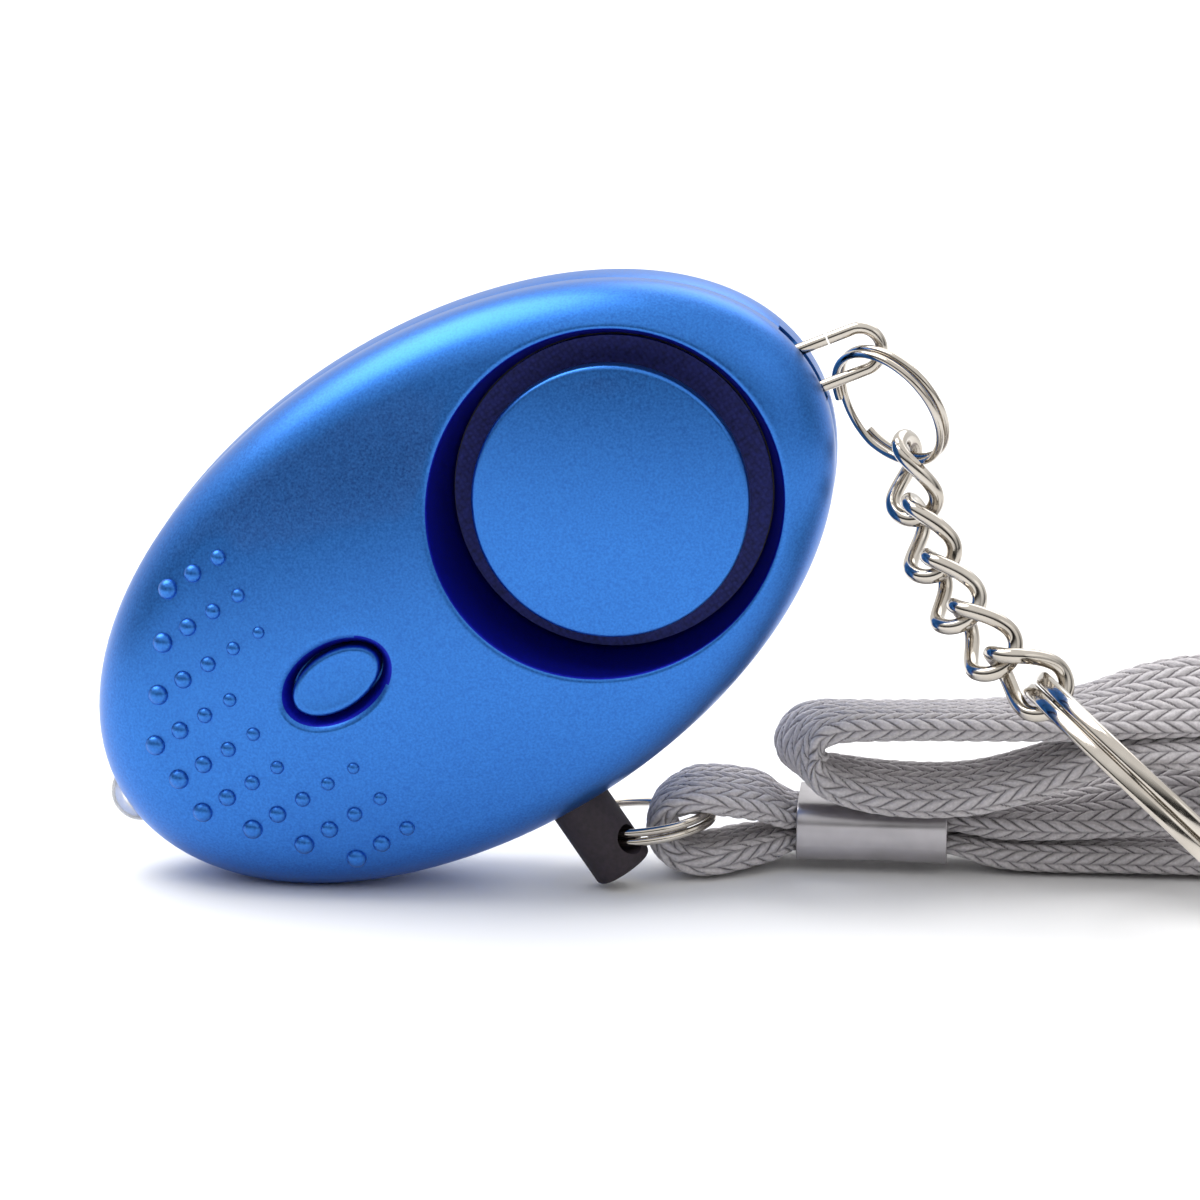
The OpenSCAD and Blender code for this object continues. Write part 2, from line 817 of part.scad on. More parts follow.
module power_transistor() {
  color("dimgray")
    on_case()
      translate([-5.5, -8, board_top]) {
        translate([-transistor[0] / 2, -transistor[1] / 2, 0])
          cube(transistor);
        for (i = [-1 : 1])
          translate([i * 1.5 - 0.25, transistor[1] / 2 - 0.1, 0])
            cube([0.5, 1.1, 0.3]);
      }
}

module tact_switch() {
  color("silver")
    on_case()
      translate([button_x, 0, 0])
        difference() {
          translate([-switch_w / 2, -switch_w / 2, board_top])
            cube([switch_w, switch_w, switch_h]);
          translate([0, 0, switch_top - plunger_in - button_travel - run])
            cylinder(d = plunger_d + 2 * run, h = front_h);
        }
}

module switch_plunger() {
  color("black")
    on_case()
      translate([button_x, 0, switch_top - plunger_in])
        cylinder(d = plunger_d, h = flange_z - switch_top + plunger_in);
}

module torch_button() {
  color("blue")
    on_case() {
      ellipse_post(button_l, button_w, flange_z, button_z - flange_z);
      ellipse_post(button_l + 2 * flange_out, button_w + 2 * flange_out, flange_z, flange_t);
    }
}

module led_lamp() {
  color("white")
    on_case() {
      translate([led_base, 0, 0])
        rotate([0, -90, 0])
          rotate_extrude()
            union() {
              square([led_r, led_base - led_tip - led_r]);
              square([led_flange, 1]);
              intersection() {
                translate([0, led_base - led_tip - led_r])
                  circle(led_r);
                square([led_r, 2 * case_l]);
              }
            }
      for (side = [-1, 1])
        translate([led_base, side * led_pitch / 2 - led_leg / 2, -led_leg / 2]) {
          cube([led_bend - led_base, led_leg, led_leg]);
          translate([led_bend - led_base - led_leg, 0, 0])
            cube([led_leg, led_leg, board_z + led_leg / 2]);
        }
    }
}

module battery_tray() {
  color("gray")
    on_case()
      difference() {
        union() {
          for (p = cell_at)
            disc(p[0], p[1], floor_z, cell_d + 2 * (fit + tray_wall), tray_t + 0.7 * cell_h);
          for (p = tray_post)
            disc(p[0], p[1], floor_z, tray_post_d, board_z - floor_z);
          translate([tray_post[0][0], tray_post[1][1], floor_z])
            cube([-tray_post[0][0], 2 * tray_post[0][1], tray_t]);
        }
        for (p = cell_at)
          disc(p[0], p[1], floor_z + tray_t, cell_d + 2 * fit, 2 * cell_h);
        translate([tab_x, -tab_w / 2 - fit, floor_z + tray_t])
          cube([4, tab_w + 2 * fit, cell_h]);
        translate([cell_at[0][0] - strip_w / 2 - fit, -4, floor_z + tray_t])
          cube([strip_w + 2 * fit, 8, leaf_t + fit]);
      }
}

module button_cells() {
  color("silver")
    on_case()
      for (p = cell_at)
        translate([p[0], p[1], cell_z])
          rotate_extrude()
            polygon([[0, 0], [cell_d / 2 - 1, 0], [cell_d / 2 - 0.8, 0.9], [cell_d / 2, 1.1],
              [cell_d / 2, cell_h - 0.4], [cell_d / 2 - 0.4, cell_h], [0, cell_h]]);
}

// Strip between two cells and a single pad with its tab up to the board
module lower_contacts() {
  z = floor_z + tray_t;
  color("goldenrod")
    on_case() {
      for (p = [cell_at[0], cell_at[1]])
        disc(p[0], p[1], z, pad_d, leaf_t);
      translate([cell_at[0][0] - strip_w / 2, cell_at[1][1], z])
        cube([strip_w, 2 * cell_at[0][1], leaf_t]);
      disc(cell_at[2][0], cell_at[2][1], z, pad_d, leaf_t);
      translate([tab_x, -tab_w / 2, z])
        cube([cell_at[2][0] - tab_x, tab_w, leaf_t]);
      translate([tab_x, -tab_w / 2, z])
        cube([leaf_t, tab_w, board_z - z]);
    }
}

module upper_contacts() {
  z = cell_top;
  step = cell_at[2] - cell_at[1];
  color("goldenrod")
    on_case() {
      for (p = [cell_at[1], cell_at[2]])
        disc(p[0], p[1], z, pad_d, leaf_t);
      translate([cell_at[1][0], cell_at[1][1], z])
        rotate([0, 0, atan2(step[1], step[0])])
          translate([0, -strip_w / 2, 0])
            cube([norm(step), strip_w, leaf_t]);
      disc(cell_at[0][0], cell_at[0][1], z, pad_d, leaf_t);
      translate([cell_at[0][0] - tab_w / 2, cell_at[0][1], z])
        cube([tab_w, leaf_t, board_z - z]);
    }
}

// Two leaves that the shank of the pin holds apart
module pin_contacts() {
  color("goldenrod")
    on_case()
      for (side = [-1, 1])
        translate([pin_x + side * (shank_r + fit + leaf_t / 2) - leaf_t / 2,
          leaf_from, -shank_r])
          cube([leaf_t, leaf_l, board_z + shank_r]);
}

module case_screws() {
  slot = 0.5;
  color("darkgray")
    on_case()
      for (p = boss_at)
        translate([p[0], p[1], 0])
          difference() {
            union() {
              translate([0, 0, screw_seat - 1.5])
                cylinder(d = screw_head, h = 1.5);
              translate([0, 0, screw_seat - 0.1])
                cylinder(d = screw_d, h = screw_end - screw_seat);
            }
            for (a = [0, 90])
              rotate([0, 0, a])
                translate([-1.1, -slot / 2, screw_seat - 2.5])
                  cube([2.2, slot, 1.7]);
          }
}

// Rubber head: drilled across for the split ring, bored for the shank
module pull_pin() {
  soft_end = 0.5;
  color("dimgray")
    difference() {
      along_pin()
        translate([0, 0, -pin_top])
          difference() {
            rotate_extrude()
              polygon([[0, 0], [pin_r, 0], [pin_r, pin_top - pin_end - soft_end],
                [pin_r - soft_end, pin_top - pin_end], [0, pin_top - pin_end]]);
            translate([0, 0, -over])
              cylinder(r = shank_r + fit / 2, h = over + shank_in + fit);
          }
      pin_ring_place()
        rotate([0, 0, 180 + pinring_turn])
          translate([pinring_r - eye_in, 0, 0])
            rotate([90, 0, 0])
              cylinder(d = eye_d, h = 3 * pin_d, center = true);
    }
}

module pin_shank() {
  color("silver")
    along_pin()
      translate([0, 0, -pin_top - shank_out])
        cylinder(d = shank_d, h = shank_out + shank_in);
}

module pin_ring_place() {
  rest()
    translate(pinring_at)
      rotate([0, -pinring_lean, 0])
        children();
}

module pin_ring() {
  color("silver")
    pin_ring_place()
      split_ring(pinring_r, pinring_t, pinring_t, 100);
}

module ring_loop() {
  color("lightgray")
    rest()
      strap(ring_route);
}

module wrist_loop() {
  color("lightgray")
    rest()
      strap(wrist_route);
}

module crimp_form(w, h, r, l) {
  translate([-l / 2, 0, 0])
    rotate([0, 90, 0])
      linear_extrude(l)
        union() {
          square([h, w - 2 * r], center = true);
          square([h - 2 * r, w], center = true);
          for (x = [-1, 1])
            for (y = [-1, 1])
              translate([x * (h / 2 - r), y * (w / 2 - r)])
                circle(r);
        }
}

module strap_crimp() {
  color("silver")
    rest()
      translate(crimp_at)
        difference() {
          crimp_form(crimp_w, crimp_h, crimp_r, crimp_l);
          crimp_form(crimp_w - 2 * crimp_t, crimp_h - 2 * crimp_t, crimp_r - crimp_t,
            crimp_l + over);
        }
}

// Wire link round the post, its butt joint in the upper leg
module bail() {
  far = bail_l - bail_r - bail_t / 2;
  color("silver")
    on_case()
      translate([post_x, 0, 0])
        rotate([0, 0, -bail_drop])
          difference() {
            union() {
              for (side = [-1, 1])
                translate([0, side * bail_r, 0])
                  rotate([0, 90, 0])
                    cylinder(d = bail_t, h = far, $fn = 24);
              rotate([0, 0, 90])
                rotate_extrude(angle = 180)
                  translate([bail_r, 0])
                    circle(d = bail_t, $fn = 24);
              translate([far, 0, 0])
                rotate([0, 0, -90])
                  rotate_extrude(angle = 180)
                    translate([bail_r, 0])
                      circle(d = bail_t, $fn = 24);
            }
            translate([5.2, bail_r - bail_t, -bail_t])
              cube([bail_gap, 2 * bail_t, 2 * bail_t]);
          }
}

module bail_ring() {
  color("silver")
    rest()
      translate(tagring_at)
        rotate(tagring_turn)
          split_ring(tagring_r, tagring_t, tagring_t, tagring_split);
}

// Twisted link: a racetrack of round wire, turned a quarter from bow to bow
link_round = 2 * PI * link_r + 4 * link_e;
function race(q) = let (bow = PI * link_r, leg = 2 * link_e)
  q < bow ? let (a = 180 * q / bow) [-link_e - link_r * sin(a), link_r * cos(a)]
  : q < bow + leg ? [-link_e + (q - bow), -link_r]
  : q < 2 * bow + leg ? let (a = 180 * (q - bow - leg) / bow)
      [link_e + link_r * sin(a), -link_r * cos(a)]
  : [link_e - (q - 2 * bow - leg), link_r];
function link_angle(x) = link_twist / 2 * (1 + sin(90 * x / (link_e + link_r)));
function link_point(k) = let (p = race(link_round * (k + 0.5) / link_rings
  - link_round * floor((k + 0.5) / link_rings)), a = link_angle(p[0]))
  [p[0] + link_span / 2, p[1] * cos(a), p[1] * sin(a)];
function link_ring(k) = let (c = link_point(k),
  t = unit(link_point(k + 1) - link_point(k - 1)),
  a = link_angle(c[0] - link_span / 2), b = across([0, -sin(a), cos(a)], t), u = cross(b, t))
  [for (i = [0 : wire_sides - 1])
    let (v = 360 * (i + 0.5) / wire_sides) c + link_t / 2 * (u * cos(v) - b * sin(v))];

module chain_link(i) {
  s = fall(i);
  w = -bow_line(i);
  v = cross(s, w);
  at = bow_at(i);
  color("silver")
    rest()
      multmatrix([[s[0], w[0], v[0], at[0]], [s[1], w[1], v[1], at[1]],
        [s[2], w[2], v[2], at[2]], [0, 0, 0, 1]])
        sweep([for (k = [0 : link_rings - 1]) link_ring(k)], true);
}

module chain_link_1() {
  chain_link(0);
}

module chain_link_2() {
  chain_link(1);
}

module chain_link_3() {
  chain_link(2);
}

module chain_link_4() {
  chain_link(3);
}

module chain_link_5() {
  chain_link(4);
}

module key_ring() {
  color("silver")
    rest()
      multmatrix([[key_m[0], key_t[0], key_n[0], key_mid[0]],
        [key_m[1], key_t[1], key_n[1], key_mid[1]],
        [key_m[2], key_t[2], key_n[2], key_mid[2]], [0, 0, 0, 1]])
        split_ring(key_r, key_w, key_h, 120);
}

front_shell();
rear_shell();
speaker_cap();
sound_mesh();
sound_chamber();
piezo_disc();
circuit_board();
boost_coil();
driver_chip();
power_transistor();
tact_switch();
switch_plunger();
torch_button();
led_lamp();
battery_tray();
button_cells();
lower_contacts();
upper_contacts();
pin_contacts();
case_screws();
pull_pin();
pin_shank();
pin_ring();
ring_loop();
wrist_loop();
strap_crimp();
bail();
bail_ring();
chain_link_1();
chain_link_2();
chain_link_3();
chain_link_4();
chain_link_5();
key_ring();
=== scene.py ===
from math import atan2, cos, hypot, pi, radians, sin, sqrt

import bmesh
import bpy
import numpy as np
from mathutils import Matrix, Vector


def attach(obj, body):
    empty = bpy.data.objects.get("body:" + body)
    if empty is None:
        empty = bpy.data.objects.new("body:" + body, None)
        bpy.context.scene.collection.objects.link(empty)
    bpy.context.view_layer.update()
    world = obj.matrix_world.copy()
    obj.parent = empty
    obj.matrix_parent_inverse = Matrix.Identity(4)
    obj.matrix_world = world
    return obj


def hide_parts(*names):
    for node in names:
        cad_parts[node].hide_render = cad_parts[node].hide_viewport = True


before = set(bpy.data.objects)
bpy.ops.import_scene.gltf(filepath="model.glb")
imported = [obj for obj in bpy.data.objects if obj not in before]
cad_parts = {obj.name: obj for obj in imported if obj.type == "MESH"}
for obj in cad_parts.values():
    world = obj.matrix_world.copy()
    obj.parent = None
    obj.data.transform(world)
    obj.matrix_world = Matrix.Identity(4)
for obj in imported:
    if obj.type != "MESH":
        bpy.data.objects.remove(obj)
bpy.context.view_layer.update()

mm = 0.001

# where the case leans, and where the loose pieces were drawn
case = {"halfL": 33.5, "halfW": 20.5, "frontH": 9.0, "rearH": 8.5, "rim": 1.2, "edge": 5.3,
        "wall": 1.6, "tilt": radians(34.5), "midX": 18.7203, "midY": -8.09054, "postX": 30.2}
riseZ = hypot(case["halfL"] * sin(case["tilt"]), case["halfW"] * cos(case["tilt"]))
ct, st = cos(case["tilt"]), sin(case["tilt"])
casePlace = Matrix(((ct, -st, 0, -case["midX"] * mm), (0, 0, -1, -case["midY"] * mm),
                    (st, ct, 0, riseZ * mm), (0, 0, 0, 1)))
loosePlace = Matrix.Translation((-case["midX"] * mm, -case["midY"] * mm, 0))
horn = {"x": 14.9, "floorR": 13.0, "floorZ": 2.6, "draft": 0.27, "wall": 1.2, "shelf": 2.1, "lip": 0.5}


def clearPick():
    if bpy.context.object and bpy.context.object.mode != "OBJECT":
        bpy.ops.object.mode_set(mode="OBJECT")
    bpy.ops.object.select_all(action="DESELECT")


def pick(piece):
    clearPick()
    piece.select_set(True)
    bpy.context.view_layer.objects.active = piece


def named(name):
    piece = bpy.context.object
    piece.name = name
    piece.data.name = name
    return piece


def edit(piece, mode="VERT"):
    pick(piece)
    bpy.ops.object.mode_set(mode="EDIT")
    bpy.ops.mesh.select_mode(type=mode)
    bpy.ops.mesh.select_all(action="DESELECT")
    return bmesh.from_edit_mesh(piece.data)


def choose(piece, mesh):
    mesh.select_flush_mode()
    bmesh.update_edit_mesh(piece.data)


def leave():
    bpy.ops.object.mode_set(mode="OBJECT")


def tidyMesh(piece, gap=1e-7):
    edit(piece)
    bpy.ops.mesh.select_all(action="SELECT")
    bpy.ops.mesh.remove_doubles(threshold=gap)
    bpy.ops.mesh.normals_make_consistent(inside=False)
    leave()


def smooth(piece, angle=35):
    pick(piece)
    bpy.ops.object.shade_smooth_by_angle(angle=radians(angle))


def apply(piece, modifier):
    pick(piece)
    bpy.ops.object.modifier_apply(modifier=modifier.name)


def carve(piece, cutter, how="DIFFERENCE"):
    cut = piece.modifiers.new("carve", "BOOLEAN")
    cut.operation = how
    cut.solver = "EXACT"
    cut.object = cutter
    apply(piece, cut)
    bpy.data.objects.remove(cutter, do_unlink=True)


def settle(piece, place=None):
    pick(piece)
    bpy.ops.object.transform_apply(location=True, rotation=True, scale=True)
    if place is not None:
        piece.matrix_world = place
        bpy.ops.object.transform_apply(location=True, rotation=True, scale=True)


def dress(piece, finish, slot, body, *nodes):
    if len(piece.data.materials) < 2:
        piece.data.materials.clear()
        piece.data.materials.append(finish)
    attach(piece, body)
    if nodes:
        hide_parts(*nodes)


def round_(name, r, z0, z1, at=(0, 0), count=64, top=None):  # upright post or cone, in mm
    clearPick()
    bpy.ops.mesh.primitive_cone_add(vertices=count, radius1=r * mm, radius2=(r if top is None else top) * mm,
                                    depth=(z1 - z0) * mm, location=(at[0] * mm, at[1] * mm, (z0 + z1) / 2 * mm))
    return named(name)


def growRings(name, count, rows, spot, shut=False, ends=False):
    clearPick()
    bpy.ops.mesh.primitive_circle_add(vertices=count, radius=1)
    piece = named(name)
    turn = piece.data.attributes.new("turn", "FLOAT", "POINT")
    for v in piece.data.vertices:
        turn.data[v.index].value = atan2(v.co.y, v.co.x)
    edit(piece, "EDGE")
    bpy.ops.mesh.select_all(action="SELECT")
    for row in range(rows):
        if row:
            bpy.ops.mesh.extrude_edges_move()  # a new ring, then put in its place
        mesh = bmesh.from_edit_mesh(piece.data)
        key = mesh.verts.layers.float["turn"]
        for v in mesh.verts:
            if v.select:
                v.co = Vector(spot(row, v[key])) * mm
        bmesh.update_edit_mesh(piece.data)
        if ends and row in (0, rows - 1):
            bpy.ops.mesh.edge_face_add()
            if row == 0:
                bpy.ops.mesh.select_all(action="SELECT")
    if shut:
        bpy.ops.mesh.select_all(action="DESELECT")
        bpy.ops.mesh.select_non_manifold()
        bpy.ops.mesh.bridge_edge_loops()
    leave()
    piece.data.attributes.remove(piece.data.attributes["turn"])
    tidyMesh(piece)
    return piece


def skin(name, rings, shut=False, uv=None):  # rings of points in mm, joined in order
    count, sides = len(rings), len(rings[0])
    faces = [(i * sides + k, i * sides + (k + 1) % sides, ((i + 1) % count) * sides + (k + 1) % sides,
              ((i + 1) % count) * sides + k) for i in range(count if shut else count - 1) for k in range(sides)]
    if not shut:
        faces += [tuple(reversed(range(sides))), tuple(range((count - 1) * sides, count * sides))]
    flat = [tuple(c * mm for c in p) for ring in rings for p in ring]
    mesh = bpy.data.meshes.new(name)
    mesh.from_pydata(flat, [], faces)
    piece = bpy.data.objects.new(name, mesh)
    bpy.context.scene.collection.objects.link(piece)
    if uv is not None:
        layer = mesh.uv_layers.new(name="weave")
        for i in range(count - 1):
            for k in range(sides):
                at = 4 * (i * sides + k)
                for j, (a, b) in enumerate(((i, k), (i, k + 1), (i + 1, k + 1), (i + 1, k))):
                    layer.data[at + j].uv = uv(a, b)
    pick(piece)
    bpy.ops.object.mode_set(mode="EDIT")
    bpy.ops.mesh.select_all(action="SELECT")
    bpy.ops.mesh.normals_make_consistent(inside=False)
    leave()
    return piece


def bendWire(name, points, thick, shut=False):  # round wire along points in mm
    line = bpy.data.curves.new(name, "CURVE")
    line.dimensions = "3D"
    line.bevel_depth = thick / 2 * mm
    line.bevel_resolution = 5
    line.use_fill_caps = not shut
    path = line.splines.new("POLY")
    path.points.add(len(points) - 1)
    for p, at in zip(path.points, points):
        p.co = (at[0] * mm, at[1] * mm, at[2] * mm, 1)
    path.use_cyclic_u = shut
    rod = bpy.data.objects.new(name, line)
    bpy.context.scene.collection.objects.link(rod)
    pick(rod)
    bpy.ops.object.convert(target="MESH")
    rod = named(name)
    tidyMesh(rod)
    smooth(rod, 45)
    return rod


def finish(name, **sockets):
    mat = bpy.data.materials.new(name)
    mat.use_nodes = True
    shader = mat.node_tree.nodes["Principled BSDF"]
    for key, value in sockets.items():
        shader.inputs[key.replace("_", " ")].default_value = value
    return mat, shader


def add(mat, kind, **values):
    node = mat.node_tree.nodes.new("ShaderNode" + kind)
    for key, value in values.items():
        if key in node.inputs:
            node.inputs[key].default_value = value
        else:
            setattr(node, key, value)
    return node


def wire(mat, a, b):
    mat.node_tree.links.new(a, b)


def math_(mat, how, a, b=None):
    node = add(mat, "Math", operation=how)
    for i, v in enumerate((a, b)):
        if v is None:
            continue
        if isinstance(v, (int, float)):
            node.inputs[i].default_value = v
        else:
            wire(mat, v, node.inputs[i])
    return node.outputs[0]


def speckle(mat, scale, detail=2.0, rough=0.5, stretch=None):  # noise in the piece's own metres
    coord = add(mat, "TexCoord")
    noise = add(mat, "TexNoise", Scale=scale, Detail=detail, Roughness=rough)
    if stretch:
        turn = add(mat, "Mapping")
        turn.inputs["Scale"].default_value = stretch
        wire(mat, coord.outputs["Object"], turn.inputs["Vector"])
        wire(mat, turn.outputs[0], noise.inputs["Vector"])
    else:
        wire(mat, coord.outputs["Object"], noise.inputs["Vector"])
    return noise.outputs["Fac"]


def spread(mat, value, low, high, a=0.3, b=0.7):
    node = add(mat, "MapRange")
    node.inputs["From Min"].default_value = a
    node.inputs["From Max"].default_value = b
    node.inputs["To Min"].default_value = low
    node.inputs["To Max"].default_value = high
    wire(mat, value, node.inputs["Value"])
    return node.outputs[0]


def shade(mat, value, dark, light):
    mix = add(mat, "Mix", data_type="RGBA")
    mix.inputs[6].default_value = (*dark, 1)  # its two colours
    mix.inputs[7].default_value = (*light, 1)
    wire(mat, value, mix.inputs[0])
    return mix.outputs[2]


def emboss(mat, shader, height, strength, depth):
    bump = add(mat, "Bump", Strength=strength, Distance=depth)
    wire(mat, height, bump.inputs["Height"])
    wire(mat, bump.outputs[0], shader.inputs["Normal"])


def satinPaint(name, dark, light, rough, coat=0.3):
    mat, shader = finish(name, Metallic=0.93, Coat_Weight=coat, Coat_Roughness=0.32)
    grain = speckle(mat, 5200, 3)
    patch = speckle(mat, 90, 3)
    wire(mat, shade(mat, spread(mat, grain, 0, 1), dark, light), shader.inputs["Base Color"])
    wire(mat, math_(mat, "ADD", spread(mat, grain, rough - 0.05, rough + 0.05), spread(mat, patch, -0.02, 0.02)),
         shader.inputs["Roughness"])
    emboss(mat, shader, grain, 0.22, 2.5e-5)
    return mat


def plainPlastic(name, dark, light, rough, scale=2600, lift=0.2, **more):
    mat, shader = finish(name, **more)
    grain = speckle(mat, scale, 3)
    wire(mat, shade(mat, spread(mat, grain, 0, 1), dark, light), shader.inputs["Base Color"])
    wire(mat, spread(mat, grain, rough - 0.06, rough + 0.06), shader.inputs["Roughness"])
    emboss(mat, shader, grain, lift, 3e-5)
    return mat


def brightMetal(name, dark, light, rough, stretch=(1, 1, 1), lift=0.06):
    mat, shader = finish(name, Metallic=1.0)
    drawn = speckle(mat, 1500, 4, 0.6, stretch)
    haze = speckle(mat, 260, 3)
    wire(mat, shade(mat, spread(mat, haze, 0, 1), dark, light), shader.inputs["Base Color"])
    wire(mat, math_(mat, "ADD", spread(mat, drawn, rough - 0.05, rough + 0.07), spread(mat, haze, -0.03, 0.04)),
         shader.inputs["Roughness"])
    emboss(mat, shader, drawn, lift, 2e-5)
    return mat


caseBlue = satinPaint("caseBlue", (0.016, 0.122, 0.46), (0.030, 0.192, 0.61), 0.39)
capBlue = satinPaint("capBlue", (0.016, 0.122, 0.46), (0.030, 0.192, 0.61), 0.36)
paintedShadeBlue = satinPaint("paintedShadeBlue", (0.005, 0.008, 0.34), (0.009, 0.015, 0.48), 0.5, 0.1)  # darker than the case paint: painted shade for the recess walls; thin coat on the walls
nickel = brightMetal("nickel", (0.44, 0.40, 0.35), (0.57, 0.53, 0.475), 0.11)
crimpMetal = brightMetal("crimpMetal", (0.40, 0.385, 0.40), (0.53, 0.51, 0.53), 0.34, (0.06, 1, 1), 0.14)
steel = brightMetal("steel", (0.42, 0.42, 0.43), (0.58, 0.58, 0.60), 0.26)
springBrass = brightMetal("springBrass", (0.55, 0.38, 0.13), (0.70, 0.50, 0.20), 0.28)
pinRubber = plainPlastic("pinRubber", (0.014, 0.009, 0.013), (0.034, 0.023, 0.032), 0.75, 2200, 0.6)
innerBlack = plainPlastic("innerBlack", (0.012, 0.012, 0.013), (0.022, 0.022, 0.024), 0.55)
boardGreen = plainPlastic("boardGreen", (0.01, 0.10, 0.04), (0.02, 0.17, 0.06), 0.35, 900, 0.1)
ferrite = plainPlastic("ferrite", (0.10, 0.04, 0.02), (0.22, 0.09, 0.04), 0.5, 1800, 0.3)
chipBlack = plainPlastic("chipBlack", (0.010, 0.010, 0.011), (0.020, 0.020, 0.021), 0.6, 4200, 0.3)


def makeCloth():  # fine woven cover of the sounder
    mat, shader = finish("soundCloth", Specular_IOR_Level=0.25)
    coord = add(mat, "TexCoord")
    turn = add(mat, "Mapping")
    turn.inputs["Rotation"].default_value = (0, case["tilt"], 0)
    wire(mat, coord.outputs["Object"], turn.inputs["Vector"])
    split = add(mat, "SeparateXYZ")
    wire(mat, turn.outputs[0], split.inputs[0])
    thread = 0.00042  # metres from one thread to the next
    threads = [math_(mat, "ABSOLUTE", math_(mat, "SINE", math_(mat, "MULTIPLY", split.outputs[i], pi / thread)))
               for i in (0, 2)]
    weave = math_(mat, "MULTIPLY", *threads)
    dust = speckle(mat, 2600, 4)
    wire(mat, shade(mat, spread(mat, math_(mat, "ADD", math_(mat, "MULTIPLY", weave, 0.15), dust), 0, 1, 0.3, 0.95),
                    (0.012, 0.015, 0.085), (0.050, 0.060, 0.28)), shader.inputs["Base Color"])
    wire(mat, spread(mat, dust, 0.6, 0.85), shader.inputs["Roughness"])
    emboss(mat, shader, weave, 0.3, 6e-5)
    return mat


def makeLens():
    mat, shader = finish("ledClear", Transmission_Weight=0.72, IOR=1.45)
    cloud = speckle(mat, 900, 2)
    wire(mat, shade(mat, cloud, (0.93, 0.95, 0.97), (1, 1, 1)), shader.inputs["Base Color"])
    wire(mat, spread(mat, cloud, 0.02, 0.07), shader.inputs["Roughness"])
    emboss(mat, shader, cloud, 0.03, 3e-5)
    return mat


braid = {"rows": 16, "pitch": 1.5, "slope": 0.5, "lift": 0.32, "fibres": 7, "rowFall": 0.6}


def makeBraid():  # woven cord: the weave map holds stitches along and rows round
    mat, shader = finish("strapGrey", Sheen_Weight=0.25, Sheen_Roughness=0.5, Specular_IOR_Level=0.3)
    uv = add(mat, "UVMap", uv_map="weave")
    split = add(mat, "SeparateXYZ")
    wire(mat, uv.outputs[0], split.inputs[0])
    along, rows = split.outputs[0], split.outputs[1]
    across = math_(mat, "SUBTRACT", math_(mat, "FRACT", rows), 0.5)
    odd = math_(mat, "MODULO", math_(mat, "FLOOR", rows), 2.0)
    lean = math_(mat, "SUBTRACT", 1.0, math_(mat, "MULTIPLY", odd, 2.0))
    phase = math_(mat, "ADD", math_(mat, "ADD", along, math_(mat, "MULTIPLY", odd, 0.5)),
                  math_(mat, "MULTIPLY", math_(mat, "MULTIPLY", across, lean), 2 * braid["slope"]))
    stitch = math_(mat, "SUBTRACT", math_(mat, "FRACT", phase), 0.5)
    rowEndShade = spread(mat, math_(mat, "ABSOLUTE", across), 0, 0.6, 0.36, 0.5)  # painted shade where the ends of a stitch go under the next row
    stitchSideShade = spread(mat, math_(mat, "ABSOLUTE", stitch), 0, 1, 0.36, 0.5)
    # painted shade mask: strongest at row ends, weaker between neighbouring stitches
    gap = math_(mat, "MAXIMUM", rowEndShade, stitchSideShade)
    domes = [math_(mat, "SUBTRACT", 1.0, math_(mat, "MULTIPLY", fall, math_(
        mat, "POWER", math_(mat, "MULTIPLY", math_(mat, "ABSOLUTE", way), 2.0), 2.6)))
        for way, fall in ((across, braid["rowFall"]), (stitch, 1.0))]
    plump = math_(mat, "MULTIPLY", *domes)
    fibres = math_(mat, "SINE", math_(mat, "MULTIPLY", phase, 2 * pi * braid["fibres"]))
    fuzz = speckle(mat, 3800, 4)
    tone = speckle(mat, 140, 3)
    light = shade(mat, spread(mat, fuzz, 0, 1), (0.47, 0.445, 0.46), (0.63, 0.60, 0.615))
    # the strap colour is darkened in the gaps between rows and stitches: painted shade
    mix = add(mat, "Mix", data_type="RGBA", blend_type="MULTIPLY")
    wire(mat, math_(mat, "MULTIPLY", gap, 0.85), mix.inputs[0])
    wire(mat, light, mix.inputs[6])
    mix.inputs[7].default_value = (0.20, 0.185, 0.21, 1)
    tint = add(mat, "HueSaturation")
    wire(mat, spread(mat, tone, 0.93, 1.06), tint.inputs["Value"])
    wire(mat, mix.outputs[2], tint.inputs["Color"])
    wire(mat, tint.outputs[0], shader.inputs["Base Color"])
    wire(mat, spread(mat, fuzz, 0.75, 0.95), shader.inputs["Roughness"])
    height = math_(mat, "ADD", math_(mat, "ADD", plump, math_(mat, "MULTIPLY", fibres, 0.04)),
                   math_(mat, "MULTIPLY", fuzz, 0.1))
    emboss(mat, shader, height, 0.85, 3.2e-4)
    return mat


soundCloth, ledClear, strapGrey = makeCloth(), makeLens(), makeBraid()
print("finishes ready")

# camera, set to the low three-quarter view from the front
view = {"turn": radians(6), "lift": radians(14), "far": 450 * mm, "lens": 166.3, "shift": (0.1129, -0.0153)}
caseMid = casePlace.translation
toEye = Vector((sin(view["turn"]) * cos(view["lift"]), -cos(view["turn"]) * cos(view["lift"]), sin(view["lift"])))
clearPick()
bpy.ops.object.camera_add(location=caseMid + toEye * view["far"])
eye = bpy.context.object
eye.name = "eye"
eye.rotation_euler = toEye.to_track_quat("Z", "Y").to_euler()
eye.data.lens = view["lens"]
eye.data.sensor_width = 36
eye.data.shift_x, eye.data.shift_y = view["shift"]
eye.data.clip_start = 0.01
bpy.context.scene.camera = eye

